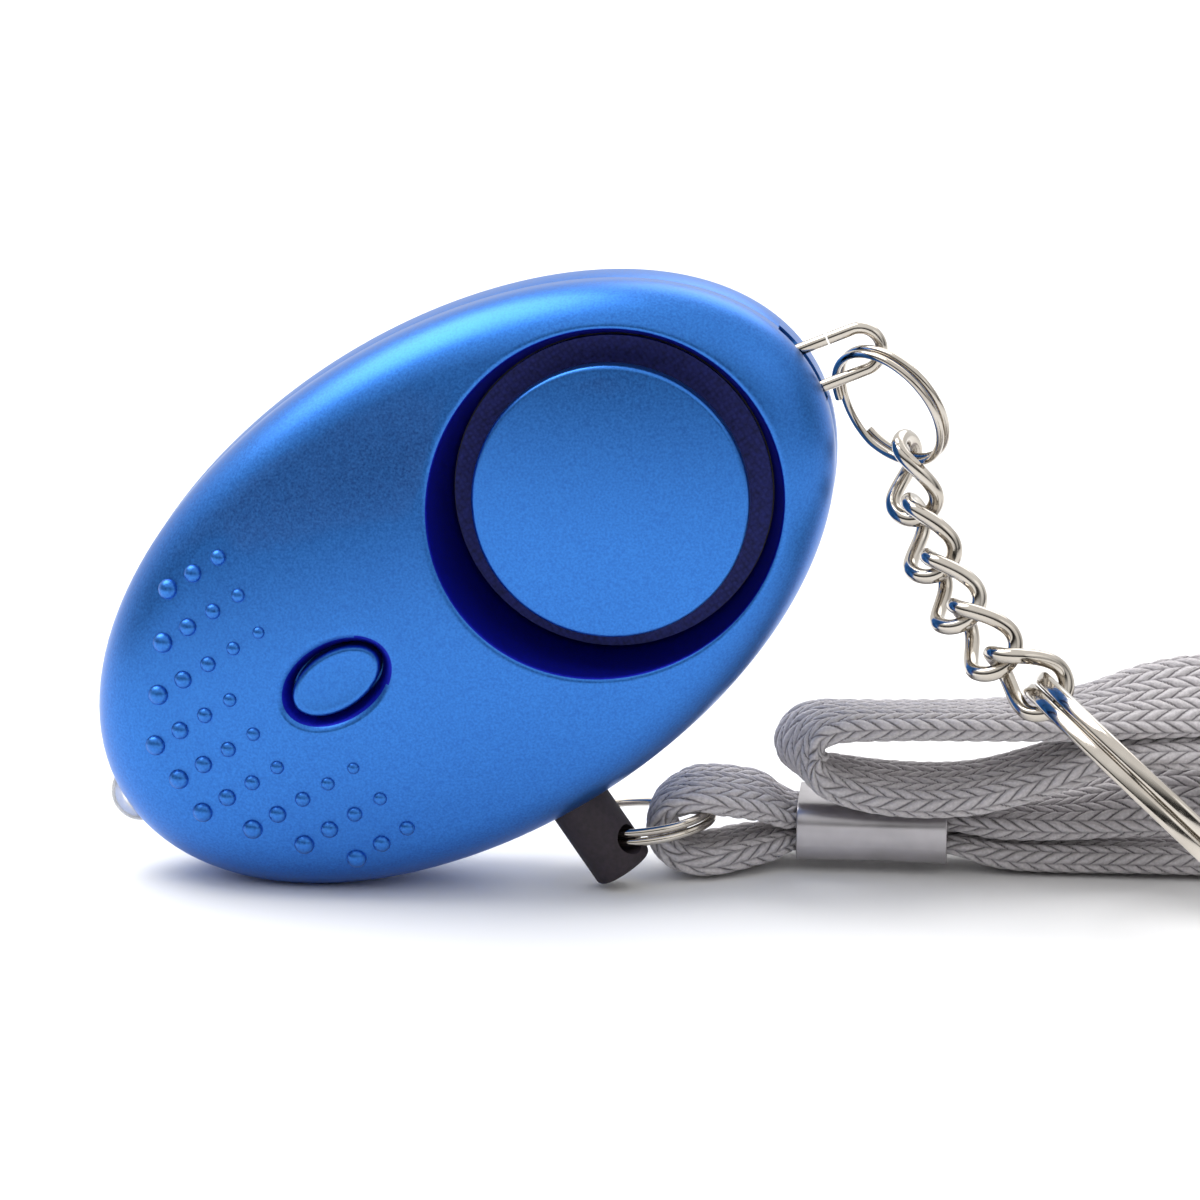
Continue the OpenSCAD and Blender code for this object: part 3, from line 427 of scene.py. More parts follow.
# each row of a route: x, y, z, lean and yaw in degrees, thickness
strap = {"wide": 8.0, "thick": 2.7, "held": 1.9, "step": 0.275, "around": 96}
h, t = strap["held"], strap["thick"]
ringRoute = [(33.3, 9, 2.4, 0, 0, h), (27, 9, 2.4, 0, 0, h), (23.6, 7.8, 1.8, 0, 0, 2.6), (19.4, 5.4, 1.5, 0, 0, t),
             (16.9, 4.8, 2.3, 0, 0, 2.6), (15.9, 4.7, 4.2, 0, 0, 2.5), (16.6, 4.7, 6.1, 0, 0, 2.6),
             (19, 5.1, 6.9, 4, 0, t), (23.4, 7.4, 6, 4, 0, t), (27, 9, 4.4, 0, 0, h), (33.3, 9, 4.4, 0, 0, h)]
wristRoute = [(33.6, 9, 4.4, 0, 0, h), (39.5, 9, 4.4, 0, 0, h), (43.5, 9.2, 4.3, 3, 0, t), (49, 9.4, 4.8, 14, 0, t),
              (54, 9.4, 5.9, 30, 0, t), (59, 9.4, 6.4, 36, 0, t), (66, 9.4, 5.4, 20, 0, t), (76, 9.5, 4.4, 0, 0, t),
              (88, 9.5, 4.3, 0, 0, t), (92.8, 9.5, 4.7, 0, 0, t), (93.8, 9.5, 6.2, 0, 0, t), (92.8, 9.5, 7.7, 0, 0, t),
              (88, 9.4, 8.1, 0, 0, t), (78, 8.8, 8.8, 0, 0, t), (69, 7.6, 10.4, 6, 0, t), (60, 6.4, 11.8, 10, 0, t),
              (52.5, 6, 11.3, 11, 0, t), (46.5, 6, 9, 11, 0, t), (41, 6, 7.5, 11, 0, t), (35, 6, 7.3, 11, 0, t),
              (30, 6, 8.1, 8, 14, t), (27.7, 6, 9.4, 4, 28, t), (27.4, 6, 11.1, 0, 28, t), (29.2, 6, 12.7, 0, 20, t),
              (35, 6, 13.1, -2, 0, t), (43, 6, 13.4, 0, 0, t), (50, 6.1, 14.1, 12, 0, t), (56, 6.4, 15.3, 32, 0, t),
              (61, 6.8, 15.7, 38, 0, t), (68, 7.6, 14.8, 22, 0, t), (78, 8.8, 12.8, 4, 0, t), (89, 9.5, 11.5, 0, 0, t),
              (94.6, 9.5, 10.4, 0, 0, t), (97, 9.5, 7, 0, 0, t), (95.4, 9.5, 3, 0, 0, t), (90, 9.5, 1.5, 0, 0, t),
              (74, 9.5, 1.5, 0, 0, t), (58, 9.5, 1.5, 0, 0, t), (45, 9.3, 1.5, 0, 0, t), (39.5, 9, 2.4, 0, 0, h),
              (33.6, 9, 2.4, 0, 0, h)]


def flow(route, fine=40):  # smooth rows through the route, evenly spaced along it
    rows = np.array(route, float)
    n = len(rows)
    out = []
    for i in range(n - 1):
        a, b, c, d = rows[max(i - 1, 0)], rows[i], rows[i + 1], rows[min(i + 2, n - 1)]
        for j in range(fine):
            u = j / fine
            out.append(0.5 * (2 * b + (c - a) * u + (2 * a - 5 * b + 4 * c - d) * u * u
                              + (3 * b - a - 3 * c + d) * u ** 3))
    out = np.array(out + [rows[-1]])
    run = np.concatenate([[0], np.cumsum(np.linalg.norm(np.diff(out[:, :3], axis=0), axis=1))])
    count = int(round(run[-1] / strap["step"])) + 1
    at = np.linspace(0, run[-1], count)
    return np.array([np.interp(at, run, out[:, k]) for k in range(6)]).T, at


def strapEdge(wide, thick, count):  # points evenly round a plump flat section, and their outward lines
    a = np.linspace(0, 2 * pi, 721)
    x = wide / 2 * np.sign(np.cos(a)) * np.abs(np.cos(a)) ** 0.62
    y = thick / 2 * np.sign(np.sin(a)) * np.abs(np.sin(a)) ** 0.8
    run = np.concatenate([[0], np.cumsum(np.hypot(np.diff(x), np.diff(y)))])
    at = np.linspace(0, run[-1], count + 1)[:-1]
    px, py = np.interp(at, run, x), np.interp(at, run, y)
    dx, dy = np.roll(px, -1) - np.roll(px, 1), np.roll(py, -1) - np.roll(py, 1)
    size = np.hypot(dx, dy)
    return px, py, dy / size, -dx / size


def makeStrap(name, route):
    rows, run = flow(route)
    ahead = np.gradient(rows[:, :3], axis=0)
    ahead /= np.linalg.norm(ahead, axis=1)[:, None]
    rings = []
    around = strap["around"]
    k = np.arange(around)
    row = k * braid["rows"] / around
    across = row - np.floor(row) - 0.5 + 0.5 * braid["rows"] / around
    odd = np.floor(row) % 2
    for i, (x, y, z, lean, yaw, thick) in enumerate(rows):
        lean, yaw = radians(lean), radians(yaw)
        w = np.array((-sin(yaw) * cos(lean), cos(yaw) * cos(lean), sin(lean)))
        w -= w.dot(ahead[i]) * ahead[i]
        w /= np.linalg.norm(w)
        up = np.cross(ahead[i], w)
        wide = strap["wide"] - 0.9 * (strap["thick"] - thick)
        px, py, nx, ny = strapEdge(wide - braid["lift"], thick - braid["lift"], around)
        phase = run[i] / braid["pitch"] + 0.5 * odd + across * (1 - 2 * odd) * 2 * braid["slope"]
        stitch = phase - np.floor(phase) - 0.5
        high = braid["lift"] * ((1 - braid["rowFall"] * np.abs(2 * across) ** 3) * (1 - np.abs(2 * stitch) ** 3) - 0.55)
        px, py = px + nx * high, py + ny * high
        rings.append([(x + w[0] * a + up[0] * b, y + w[1] * a + up[1] * b, z + w[2] * a + up[2] * b)
                      for a, b in zip(px, py)])
    half = 0.5 * braid["rows"] / around
    loop = skin(name, rings, uv=lambda a, b: (run[a] / braid["pitch"], b * braid["rows"] / around + half))
    smooth(loop, 80)
    settle(loop, loosePlace)
    path = [tuple(loosePlace @ (Vector(r[:3]) * mm)) for r in [*rows[::4], rows[-1]]]
    return loop, path, run[-1] * mm


def makeCrimp():
    crimp = {"long": 12.4, "wide": 9.3, "high": 4.9, "corner": 1.7, "wall": 0.4, "at": (33.2, 9, 3.4),
             "steps": 12, "waist": 0.035}
    clearPick()
    bpy.ops.mesh.primitive_plane_add(size=1 * mm)
    band = named("strapCrimp")
    edit(band)
    bpy.ops.mesh.select_all(action="SELECT")
    bpy.ops.transform.resize(value=(crimp["wide"], crimp["high"], 1))
    bpy.ops.mesh.bevel(offset=crimp["corner"] * mm, segments=8, affect="VERTICES")
    bpy.ops.mesh.delete(type="ONLY_FACE")
    bpy.ops.mesh.select_all(action="SELECT")
    bpy.ops.transform.translate(value=(0, 0, -crimp["long"] / 2 * mm))
    for i in range(crimp["steps"]):
        bpy.ops.mesh.extrude_edges_move(TRANSFORM_OT_translate={"value": (0, 0, crimp["long"] / crimp["steps"] * mm)})
    leave()
    tidyMesh(band)
    wall = band.modifiers.new("wall", "SOLIDIFY")
    wall.thickness = crimp["wall"] * mm
    wall.offset = -1
    apply(band, wall)
    soft = band.modifiers.new("soft", "BEVEL")
    soft.width = 0.13 * mm
    soft.segments = 3
    soft.limit_method = "ANGLE"
    soft.angle_limit = radians(50)
    apply(band, soft)
    for v in band.data.vertices:  # pressed a little waisted, so it grips
        along = v.co.z / (crimp["long"] / 2 * mm)
        v.co.y *= 1 - crimp["waist"] + crimp["waist"] * along * along
    settle(band, loosePlace @ Matrix.Translation(Vector(crimp["at"]) * mm)
           @ Matrix(((0, 0, 1, 0), (1, 0, 0, 0), (0, 1, 0, 0), (0, 0, 0, 1))))
    smooth(band, 40)
    return band


strapCrimp = makeCrimp()
dress(strapCrimp, crimpMetal, "crimp_alu", "pull_pin", "strap_crimp")
ringLoop, ringPath, ringLong = makeStrap("ringLoop", ringRoute)
dress(ringLoop, strapGrey, "strap_grey", "pull_pin", "ring_loop")
wristLoop, wristPath, wristLong = makeStrap("wristLoop", wristRoute)
dress(wristLoop, strapGrey, "strap_grey", "pull_pin", "wrist_loop")
print("strap loops", round(ringLong, 4), round(wristLong, 4))


def faceZ(x, y, inset=0.0):  # height of the crowned front over a spot of the case
    hl, hw = case["halfL"] - inset, case["halfW"] - inset
    q = hw * hypot(x / hl, y / hw)
    r, d, top = case["edge"] - inset, case["halfW"] - case["edge"], case["frontH"] - inset
    k = case["rim"] - top
    big = (r * r - k * k - d * d) / (2 * (k + r))
    low = top - big
    if q < big * d / (big - r):
        return low + sqrt(big * big - q * q)
    return case["rim"] + sqrt(max(0.0, r * r - (q - d) ** 2))


def reach(turn, inset=0.0):  # from the horn's middle to the oval outline
    hl, hw = case["halfL"] - inset, case["halfW"] - inset
    a = (cos(turn) / hl) ** 2 + (sin(turn) / hw) ** 2
    b = horn["x"] * cos(turn) / hl ** 2
    c = (horn["x"] / hl) ** 2 - 1
    return (-b + sqrt(b * b - a * c)) / a


def meet(turn, extra, inset):  # where the horn's wall meets the face
    z = 7.0
    for _ in range(40):
        r = horn["floorR"] + extra + horn["draft"] * (z - horn["floorZ"])
        z = faceZ(horn["x"] + r * cos(turn), r * sin(turn), inset)
    return r, z


def frontRow(turn):  # one closed line of the front shell, out from the horn and back inside
    over = lambda r, inset=0.0: faceZ(horn["x"] + r * cos(turn), r * sin(turn), inset)
    coneR = lambda z: horn["floorR"] + horn["draft"] * (z - horn["floorZ"])
    mouthR, mouthZ = meet(turn, 0, 0)
    lip = horn["lip"]
    down = Vector((-horn["draft"], -1)).normalized()
    out = Vector((1, (over(mouthR + 0.3) - mouthZ) / 0.3)).normalized()
    a, p, b = Vector((mouthR, mouthZ)) + lip * down, Vector((mouthR, mouthZ)), Vector((mouthR, mouthZ)) + lip * out
    b.y = over(b.x)
    line = []
    for i in range(7):
        z = horn["shelf"] + (a.y - horn["shelf"]) * i / 7
        line.append((coneR(z), z))
    for i in range(6):
        u = i / 5
        q = a * (1 - u) ** 2 + p * 2 * u * (1 - u) + b * u * u
        line.append((q.x, q.y))
    far = reach(turn)
    for i in range(1, 47):
        r = far - (far - b.x) * (1 - sin(pi / 2 * i / 46))
        line.append((r, over(r)))
    line += [(far, 0.04), (far - 0.01, 0.01), (far - 0.04, 0)]
    inFar = reach(turn, case["wall"])
    line += [(inFar, 0)]
    wallR, wallZ = meet(turn, horn["wall"], case["wall"])
    for i in range(13):
        r = inFar - (inFar - wallR) * (1 - cos(pi / 2 * i / 12))
        line.append((r, over(r, case["wall"])))
    line += [(horn["floorR"] + horn["wall"] - 0.135, horn["shelf"])]
    return line


def ovalPost(name, long, wide, z0, z1, at, count=96):
    post = round_(name, wide / 2, z0, z1, (0, 0), count)
    settle(post)
    edit(post)
    bpy.ops.mesh.select_all(action="SELECT")
    bpy.ops.transform.resize(value=(long / wide, 1, 1))
    bpy.ops.transform.translate(value=(at * mm, 0, 0))
    leave()
    return post


def cutRimBores(shell):  # for the lamp, the pull pin and the bail
    bores = {"ledR": 2.6, "ledX": -36, "pinR": 2.65, "pinX": -2.6, "slotWide": 7, "slotHigh": 1.6, "slotLong": 16}
    led = round_("ledBore", bores["ledR"], -1, 9, (0, 0), 48)
    settle(led, Matrix.Translation((bores["ledX"] * mm, 0, 0)) @ Matrix.Rotation(pi / 2, 4, "Y"))
    carve(shell, led)
    socket = round_("pinBore", bores["pinR"], 16.3, 34, (0, 0), 64)
    settle(socket, Matrix.Translation((bores["pinX"] * mm, 0, 0)) @ Matrix.Rotation(pi / 2, 4, "X"))
    carve(shell, socket)
    clearPick()
    size = (bores["slotLong"] * mm, bores["slotWide"] * mm, bores["slotHigh"] * mm)
    bpy.ops.mesh.primitive_cube_add(size=1, location=((case["postX"] + bores["slotLong"] / 2) * mm, 0, 0), scale=size)
    slot = named("bailSlot")
    settle(slot)
    carve(shell, slot)
    half = bores["slotHigh"] / 2
    carve(shell, round_("bailRoom", bores["slotWide"] / 2, -half, half, (case["postX"], 0), 64))


def makeFront():
    rows = {}

    def spot(row, turn):
        key = round(turn, 5)
        if key not in rows:
            rows[key] = frontRow(turn)
        r, z = rows[key][row]
        return horn["x"] + r * cos(turn), r * sin(turn), z

    front = growRings("frontShell", 288, len(frontRow(0.0)), spot, shut=True)
    well = {"x": -11.6, "long": 10.3, "wide": 7.0, "floor": 6.55, "guideLow": 5.55, "guideOut": 2.3,
            "button": (8.0, 4.8), "run": 0.15}
    guide = ovalPost("buttonGuide", well["button"][0] + well["guideOut"], well["button"][1] + well["guideOut"],
                     well["guideLow"], 7.6, well["x"])
    carve(front, guide, "UNION")
    steps = [(-1.1, None), (-0.28, -0.3), (-0.05, -0.1), (0.1, -0.02), (0.28, 0.02), (1.2, 0.6)]

    def wellSpot(row, turn):  # flared a little where it meets the face
        grow, rise = steps[row]
        x = well["x"] + (well["long"] / 2 + grow) * cos(turn)
        y = (well["wide"] / 2 + grow) * sin(turn)
        return x, y, well["floor"] if rise is None else faceZ(x, y) + rise

    carve(front, growRings("buttonWell", 96, len(steps), wellSpot, ends=True))
    carve(front, ovalPost("buttonHole", well["button"][0] + 2 * well["run"], well["button"][1] + 2 * well["run"],
                          4.0, 7.4, well["x"]))
    cutRimBores(front)
    tidyMesh(front, 2e-6)
    front.data.materials.append(caseBlue)
    front.data.materials.append(paintedShadeBlue)
    for f in front.data.polygons:  # walls of the horn and of the button's well take the darker blue, painted shade
        x, y, z = f.center / mm
        inHorn = hypot(x - horn["x"], y) < horn["floorR"] + horn["draft"] * (z - horn["floorZ"]) + 0.12
        inWell = hypot((x - well["x"]) / (well["long"] / 2 + 0.1), y / (well["wide"] / 2 + 0.1)) < 1
        f.material_index = int(z > 1.9 and f.normal.z < 0.75 and (inHorn or inWell))
    settle(front, casePlace)
    smooth(front, 32)
    return front


def makeRear():
    d, r, flat = case["halfW"] - case["edge"], case["edge"], case["rearH"] - case["edge"]
    inR = r - case["wall"]
    line = [(d * 0.55, -case["rearH"], 0), (d * 0.9, -case["rearH"], 0)]
    line += [(d + r * sin(pi / 2 * i / 14), -flat - r * cos(pi / 2 * i / 14), 0) for i in range(15)]
    line += [(case["halfW"], -0.04, 0), (case["halfW"] - 0.01, -0.01, 0), (case["halfW"] - 0.04, 0, 0)]
    line += [(case["halfW"] - case["wall"], 0, 1)]
    line += [(d + inR * cos(pi / 2 * i / 8), -flat - inR * sin(pi / 2 * i / 8), 1) for i in range(9)]
    line += [(d * 0.5, -case["rearH"] + case["wall"], 1)]
    ratio = [case["halfL"] / case["halfW"], (case["halfL"] - case["wall"]) / (case["halfW"] - case["wall"])]

    def spot(row, turn):
        q, z, inside = line[row]
        return q * ratio[inside] * cos(turn), q * sin(turn), z

    rear = growRings("rearShell", 256, len(line), spot, ends=True)
    screw = {"at": [(-20.8, 9.6), (-20.8, -9.6), (4.2, 15.8), (4.2, -15.8)], "foot": 2.6, "hole": 1.8,
             "shank": 1.15, "seat": -6.6}
    for at in screw["at"]:
        carve(rear, round_("foot", screw["foot"], -7.6, -0.1, at, 40), "UNION")
        carve(rear, round_("headHole", screw["hole"] + 0.35, -9.5, screw["seat"], at, 48, screw["hole"] - 0.05))
        carve(rear, round_("shankHole", screw["shank"], -9.5, 2, at, 32))
    cutRimBores(rear)
    carve(rear, round_("bailPost", 0.85, -6.8, 0.7, (case["postX"], 0), 32), "UNION")
    tidyMesh(rear, 2e-6)
    settle(rear, casePlace)
    smooth(rear, 32)
    return rear


def makeDots():  # grip dots, largest at the rim
    dots = {"rows": [(0, 4, -27.5), (1, 4, -27.5), (2, 5, -24.8), (3, 4, -22), (4, 3, -19.2)], "pitch": 2.56,
            "rowPitch": 3.36, "wide": 1.67, "fade": 0.88, "high": 0.3854}
    clearPick()
    bpy.ops.mesh.primitive_uv_sphere_add(segments=24, ring_count=16, radius=1)
    first = named("gripDots")
    edit(first)
    bpy.ops.mesh.select_all(action="SELECT")
    bpy.ops.mesh.bisect(plane_co=(0, 0, -0.25), plane_no=(0, 0, 1), use_fill=True, clear_inner=True)
    leave()
    spots = []
    for row, count, start in dots["rows"]:
        for i in range(count):
            for side in ((1,) if row == 0 else (-1, 1)):
                spots.append((start + i * dots["pitch"], side * row * dots["rowPitch"],
                              dots["wide"] * dots["fade"] ** i))
    copies = []
    for x, y, wide in spots:
        one = first.copy()
        one.data = first.data.copy()
        bpy.context.scene.collection.objects.link(one)
        z, e = faceZ(x, y), 0.05
        up = Vector(((faceZ(x - e, y) - faceZ(x + e, y)) / (2 * e),
                     (faceZ(x, y - e) - faceZ(x, y + e)) / (2 * e), 1))
        size = Matrix.Diagonal((wide / 2 * mm, wide / 2 * mm, dots["high"] * wide * mm, 1))
        lean = up.to_track_quat("Z", "Y").to_matrix().to_4x4()
        settle(one, Matrix.Translation(Vector((x, y, z)) * mm) @ lean @ size)
        copies.append(one)
    bpy.data.objects.remove(first, do_unlink=True)
    clearPick()
    for one in copies:
        one.select_set(True)
    bpy.context.view_layer.objects.active = copies[0]
    bpy.ops.object.join()
    grip = named("gripDots")
    settle(grip, casePlace)
    smooth(grip, 50)
    return grip


frontShell, rearShell, gripDots = makeFront(), makeRear(), makeDots()
dress(frontShell, caseBlue, "case_blue", "case", "front_shell")
dress(rearShell, caseBlue, "case_blue", "case", "rear_shell")
dress(gripDots, caseBlue, "case_blue", "case")
print("case", len(frontShell.data.polygons), len(rearShell.data.polygons))


def makeCap():  # flat round cap on its hub
    cap = {"r": 11.1, "low": 4.9, "top": 6.75, "hub": 4.5, "foot": 2.15, "soft": 0.4, "dome": 0.8, "steps": 8}
    disc = round_("speakerCap", cap["r"], cap["low"], cap["top"], (0, 0), 192)
    settle(disc)
    mesh = edit(disc, "EDGE")
    for e in mesh.edges:
        a, b = e.verts
        e.select = abs(a.co.z - b.co.z) < 1e-6 and hypot(a.co.x, a.co.y) > 10 * mm
    choose(disc, mesh)
    bpy.ops.mesh.bevel(offset=cap["soft"] * mm, segments=5, affect="EDGES")
    mesh = edit(disc, "FACE")
    for f in mesh.faces:
        f.select = f.normal.z > 0.99 and len(f.verts) > 50
    choose(disc, mesh)
    for i in range(cap["steps"]):  # a low dome
        a, b = 1 - i / (cap["steps"] + 1), 1 - (i + 1) / (cap["steps"] + 1)
        bpy.ops.mesh.inset(thickness=(cap["r"] - cap["soft"]) * (a - b) * mm)
        bpy.ops.transform.translate(value=(0, 0, cap["dome"] * (a * a - b * b) * mm))
    mesh = edit(disc, "FACE")
    for f in mesh.faces:
        f.select = f.normal.z < -0.99 and len(f.verts) > 50
    choose(disc, mesh)
    bpy.ops.mesh.inset(thickness=(cap["r"] - cap["soft"] - cap["hub"]) * mm)
    bpy.ops.mesh.extrude_region_move(TRANSFORM_OT_translate={"value": (0, 0, (cap["foot"] - cap["low"]) * mm)})
    leave()
    settle(disc, casePlace @ Matrix.Translation((horn["x"] * mm, 0, 0)))
    smooth(disc, 32)
    return disc


def makeButton():
    button = {"x": -11.6, "long": 8.0, "wide": 4.8, "top": 7.9, "flange": 4.85, "flangeT": 0.65, "out": 0.9}
    top = ovalPost("torchButton", button["long"], button["wide"], button["flange"], button["top"], 0, 128)
    mesh = edit(top, "EDGE")
    for e in mesh.edges:
        e.select = all(v.co.z > (button["top"] - 0.1) * mm for v in e.verts)
    choose(top, mesh)
    bpy.ops.mesh.bevel(offset=0.45 * mm, segments=5, affect="EDGES")
    mesh = edit(top, "FACE")
    for f in mesh.faces:
        f.select = f.normal.z > 0.99 and len(f.verts) > 50
    choose(top, mesh)
    for drop, size in ((0.02, 0.92), (0.03, 0.8), (0.02, 0.6)):  # a slight dish for the finger
        bpy.ops.mesh.extrude_region_move(TRANSFORM_OT_translate={"value": (0, 0, -drop * mm)})
        bpy.ops.transform.resize(value=(size, size, 1))
    leave()
    rim = ovalPost("buttonFlange", button["long"] + 2 * button["out"], button["wide"] + 2 * button["out"],
                   button["flange"], button["flange"] + button["flangeT"], 0, 96)
    carve(top, rim, "UNION")
    settle(top, casePlace @ Matrix.Translation((button["x"] * mm, 0, 0)))
    smooth(top, 32)
    return top


def makeLed():
    led = {"r": 2.5, "base": -27.5, "tip": -35.0, "flange": 2.9}
    back = Matrix.Rotation(-pi / 2, 4, "Y")  # upright parts are turned to look out of the end
    long = led["base"] - led["tip"]
    clearPick()
    bpy.ops.mesh.primitive_uv_sphere_add(segments=64, ring_count=40, radius=led["r"] * mm,
                                         location=(0, 0, (long - led["r"]) * mm))
    lens = named("ledLens")
    settle(lens)
    edit(lens)
    bpy.ops.mesh.select_all(action="SELECT")
    bpy.ops.mesh.bisect(plane_co=(0, 0, (long - led["r"]) * mm), plane_no=(0, 0, 1), clear_inner=True)
    mesh = edit(lens, "EDGE")
    for e in mesh.edges:
        e.select = e.is_boundary
    choose(lens, mesh)
    flare = 1.02
    for down, size in ((long - led["r"] - 1.2, 1), (0.12, flare), (0.08, led["flange"] / led["r"] / flare), (1.0, 1)):
        bpy.ops.mesh.extrude_edges_move(TRANSFORM_OT_translate={"value": (0, 0, -down * mm)})
        bpy.ops.transform.resize(value=(size, size, 1))
    bpy.ops.mesh.edge_face_add()
    leave()
    tidyMesh(lens)
    settle(lens, casePlace @ Matrix.Translation((led["base"] * mm, 0, 0)) @ back)
    smooth(lens, 40)
    cup = round_("ledFrame", 1.0, 2.4, 3.6, (0, 0.25), 40, 1.25)
    settle(cup)
    mesh = edit(cup, "FACE")
    for f in mesh.faces:
        f.select = f.normal.z > 0.99
    choose(cup, mesh)
    bpy.ops.mesh.inset(thickness=0.12 * mm)
    bpy.ops.mesh.extrude_region_move(TRANSFORM_OT_translate={"value": (0, 0, -0.7 * mm)})
    bpy.ops.transform.resize(value=(0.5, 0.5, 1))
    leave()
    bars = [cup]
    for y, z1 in ((1.27, 2.5), (-1.27, 3.7)):
        clearPick()
        bpy.ops.mesh.primitive_cube_add(size=1, location=(0, y * mm, (z1 - 2.5) / 2 * mm),
                                        scale=(0.5 * mm, 0.5 * mm, (z1 + 2.5) * mm))
        leg = named("ledLeg")
        settle(leg)
        soft = leg.modifiers.new("soft", "BEVEL")
        soft.width = 0.08 * mm
        soft.segments = 2
        apply(leg, soft)
        bars.append(leg)
    clearPick()
    for one in bars:
        one.select_set(True)
    bpy.context.view_layer.objects.active = cup
    bpy.ops.object.join()
    cup = named("ledFrame")
    settle(cup, casePlace @ Matrix.Translation((led["base"] * mm, 0, 0)) @ back)
    smooth(cup, 40)
    return lens, cup


speakerCap, torchButton = makeCap(), makeButton()
ledLens, ledFrame = makeLed()
dress(speakerCap, capBlue, "case_blue", "case", "speaker_cap")
dress(torchButton, capBlue, "case_blue", "torch_button", "torch_button")
dress(ledLens, ledClear, "led_clear", "case", "led_lamp")
dress(ledFrame, steel, "switch_steel", "case")
print("cap, button and lamp")

# the pin hangs from the case, its ring through the eye near the end
pinRing = {"r": 5.4, "thick": 0.7, "turn": radians(52.7), "lean": radians(8), "eyeIn": 0.3, "start": 100}
pin = {"x": -2.6, "r": 2.5, "top": -16.4, "end": -27.19, "eye": 1.2}
eyeY = pin["end"] + 3.15
eyeAt = Vector((pin["x"] * ct - eyeY * st, 0, riseZ + pin["x"] * st + eyeY * ct))
pinRingAt = eyeAt + pinRing["r"] * Vector((cos(pinRing["turn"]) * cos(pinRing["lean"]), sin(pinRing["turn"]),
                                           cos(pinRing["turn"]) * sin(pinRing["lean"])))
pinRingPlace = loosePlace @ Matrix.Translation(pinRingAt * mm) @ Matrix.Rotation(-pinRing["lean"], 4, "Y")


def makePin():
    post = round_("pullPin", pin["r"], -pin["top"], -pin["end"], (0, 0), 96)
    settle(post)
    mesh = edit(post, "EDGE")
    for e in mesh.edges:
        e.select = abs(e.verts[0].co.z - e.verts[1].co.z) < 1e-6
    choose(post, mesh)
    bpy.ops.mesh.bevel(offset=0.5 * mm, segments=4, affect="EDGES")
    leave()
    settle(post, casePlace @ Matrix.Translation((pin["x"] * mm, 0, 0)) @ Matrix.Rotation(pi / 2, 4, "X"))
    eyeHole = round_("pinEye", pin["eye"], -8, 8, (0, 0), 48)
    settle(eyeHole, pinRingPlace @ Matrix.Rotation(pi + pinRing["turn"], 4, "Z")
           @ Matrix.Translation(((pinRing["r"] - pinRing["eyeIn"]) * mm, 0, 0)) @ Matrix.Rotation(pi / 2, 4, "X"))
    carve(post, eyeHole)
    shank = round_("shankHole", 1.15, -pin["top"] - 1, -pin["top"] + 2.7, (0, 0), 32)
    settle(shank, casePlace @ Matrix.Translation((pin["x"] * mm, 0, 0)) @ Matrix.Rotation(pi / 2, 4, "X"))
    carve(post, shank)
    tidyMesh(post, 2e-6)
    smooth(post, 40)
    return post


def coilLevel(a, step):  # first turn low, a short ramp, second turn high
    return -step / 2 if a < 330 else step / 2 if a > 390 else step * ((a - 330) / 60 - 0.5)


def splitRing(name, ring, place):
    step = ring["thick"] + 0.1
    turns = [20 + 680 * i / 170 for i in range(171)]
    points = [(ring["r"] * cos(radians(a + ring["start"])), ring["r"] * sin(radians(a + ring["start"])),
               coilLevel(a, step)) for a in turns]
    coil = bendWire(name, points, ring["thick"])
    settle(coil, place)
    return coil


bailRing = {"r": 5.275, "thick": 0.65, "at": (34.21, 0.12, 40.76), "tip": radians(117), "yaw": radians(-41),
            "start": 200}
bailRingPlace = (loosePlace @ Matrix.Translation(Vector(bailRing["at"]) * mm)
                 @ Matrix.Rotation(bailRing["yaw"], 4, "Z") @ Matrix.Rotation(bailRing["tip"], 4, "X"))


def makeBail():
    bail = {"thick": 1.0, "r": 1.725, "long": 9.6, "drop": radians(12), "gap": 0.14, "gapAt": 5.2}
    far = bail["long"] - bail["r"] - bail["thick"] / 2
    cut = bail["gapAt"] + bail["gap"]
    points = [(cut + (far - cut) * i / 4, bail["r"], 0) for i in range(4)]
    points += [(far + bail["r"] * sin(pi * i / 24), bail["r"] * cos(pi * i / 24), 0) for i in range(25)]
    points += [(far - far * i / 6, -bail["r"], 0) for i in range(1, 6)]
    points += [(-bail["r"] * sin(pi * i / 24), -bail["r"] * cos(pi * i / 24), 0) for i in range(25)]
    points += [(bail["gapAt"] * i / 4, bail["r"], 0) for i in range(1, 5)]
    loop = bendWire("bailWire", points, bail["thick"])
    settle(loop, casePlace @ Matrix.Translation((case["postX"] * mm, 0, 0)) @ Matrix.Rotation(-bail["drop"], 4, "Z"))
    return loop


chain = {"long": 8.0, "wide": 5.8, "thick": 1.25, "play": 0.35, "fall": (80, 66, 54, 43, 30),
         "fore": (18, 35, 42, 36, 16), "turn": (20, 8, 0, -10, -20), "top": (35.538, 1.987, 37.049),
         "rings": 96, "twist": radians(-90)}
keyRing = {"r": 13.2, "wide": 1.6, "high": 1.2, "soft": 0.36, "slope": radians(43), "ray": (0, 0.968, -0.25),
           "start": 120, "seat": 0.325}
span, playStep = chain["long"] - chain["thick"], chain["thick"] + chain["play"]
bowR = (chain["wide"] - chain["thick"]) / 2
bowE = span / 2 - bowR


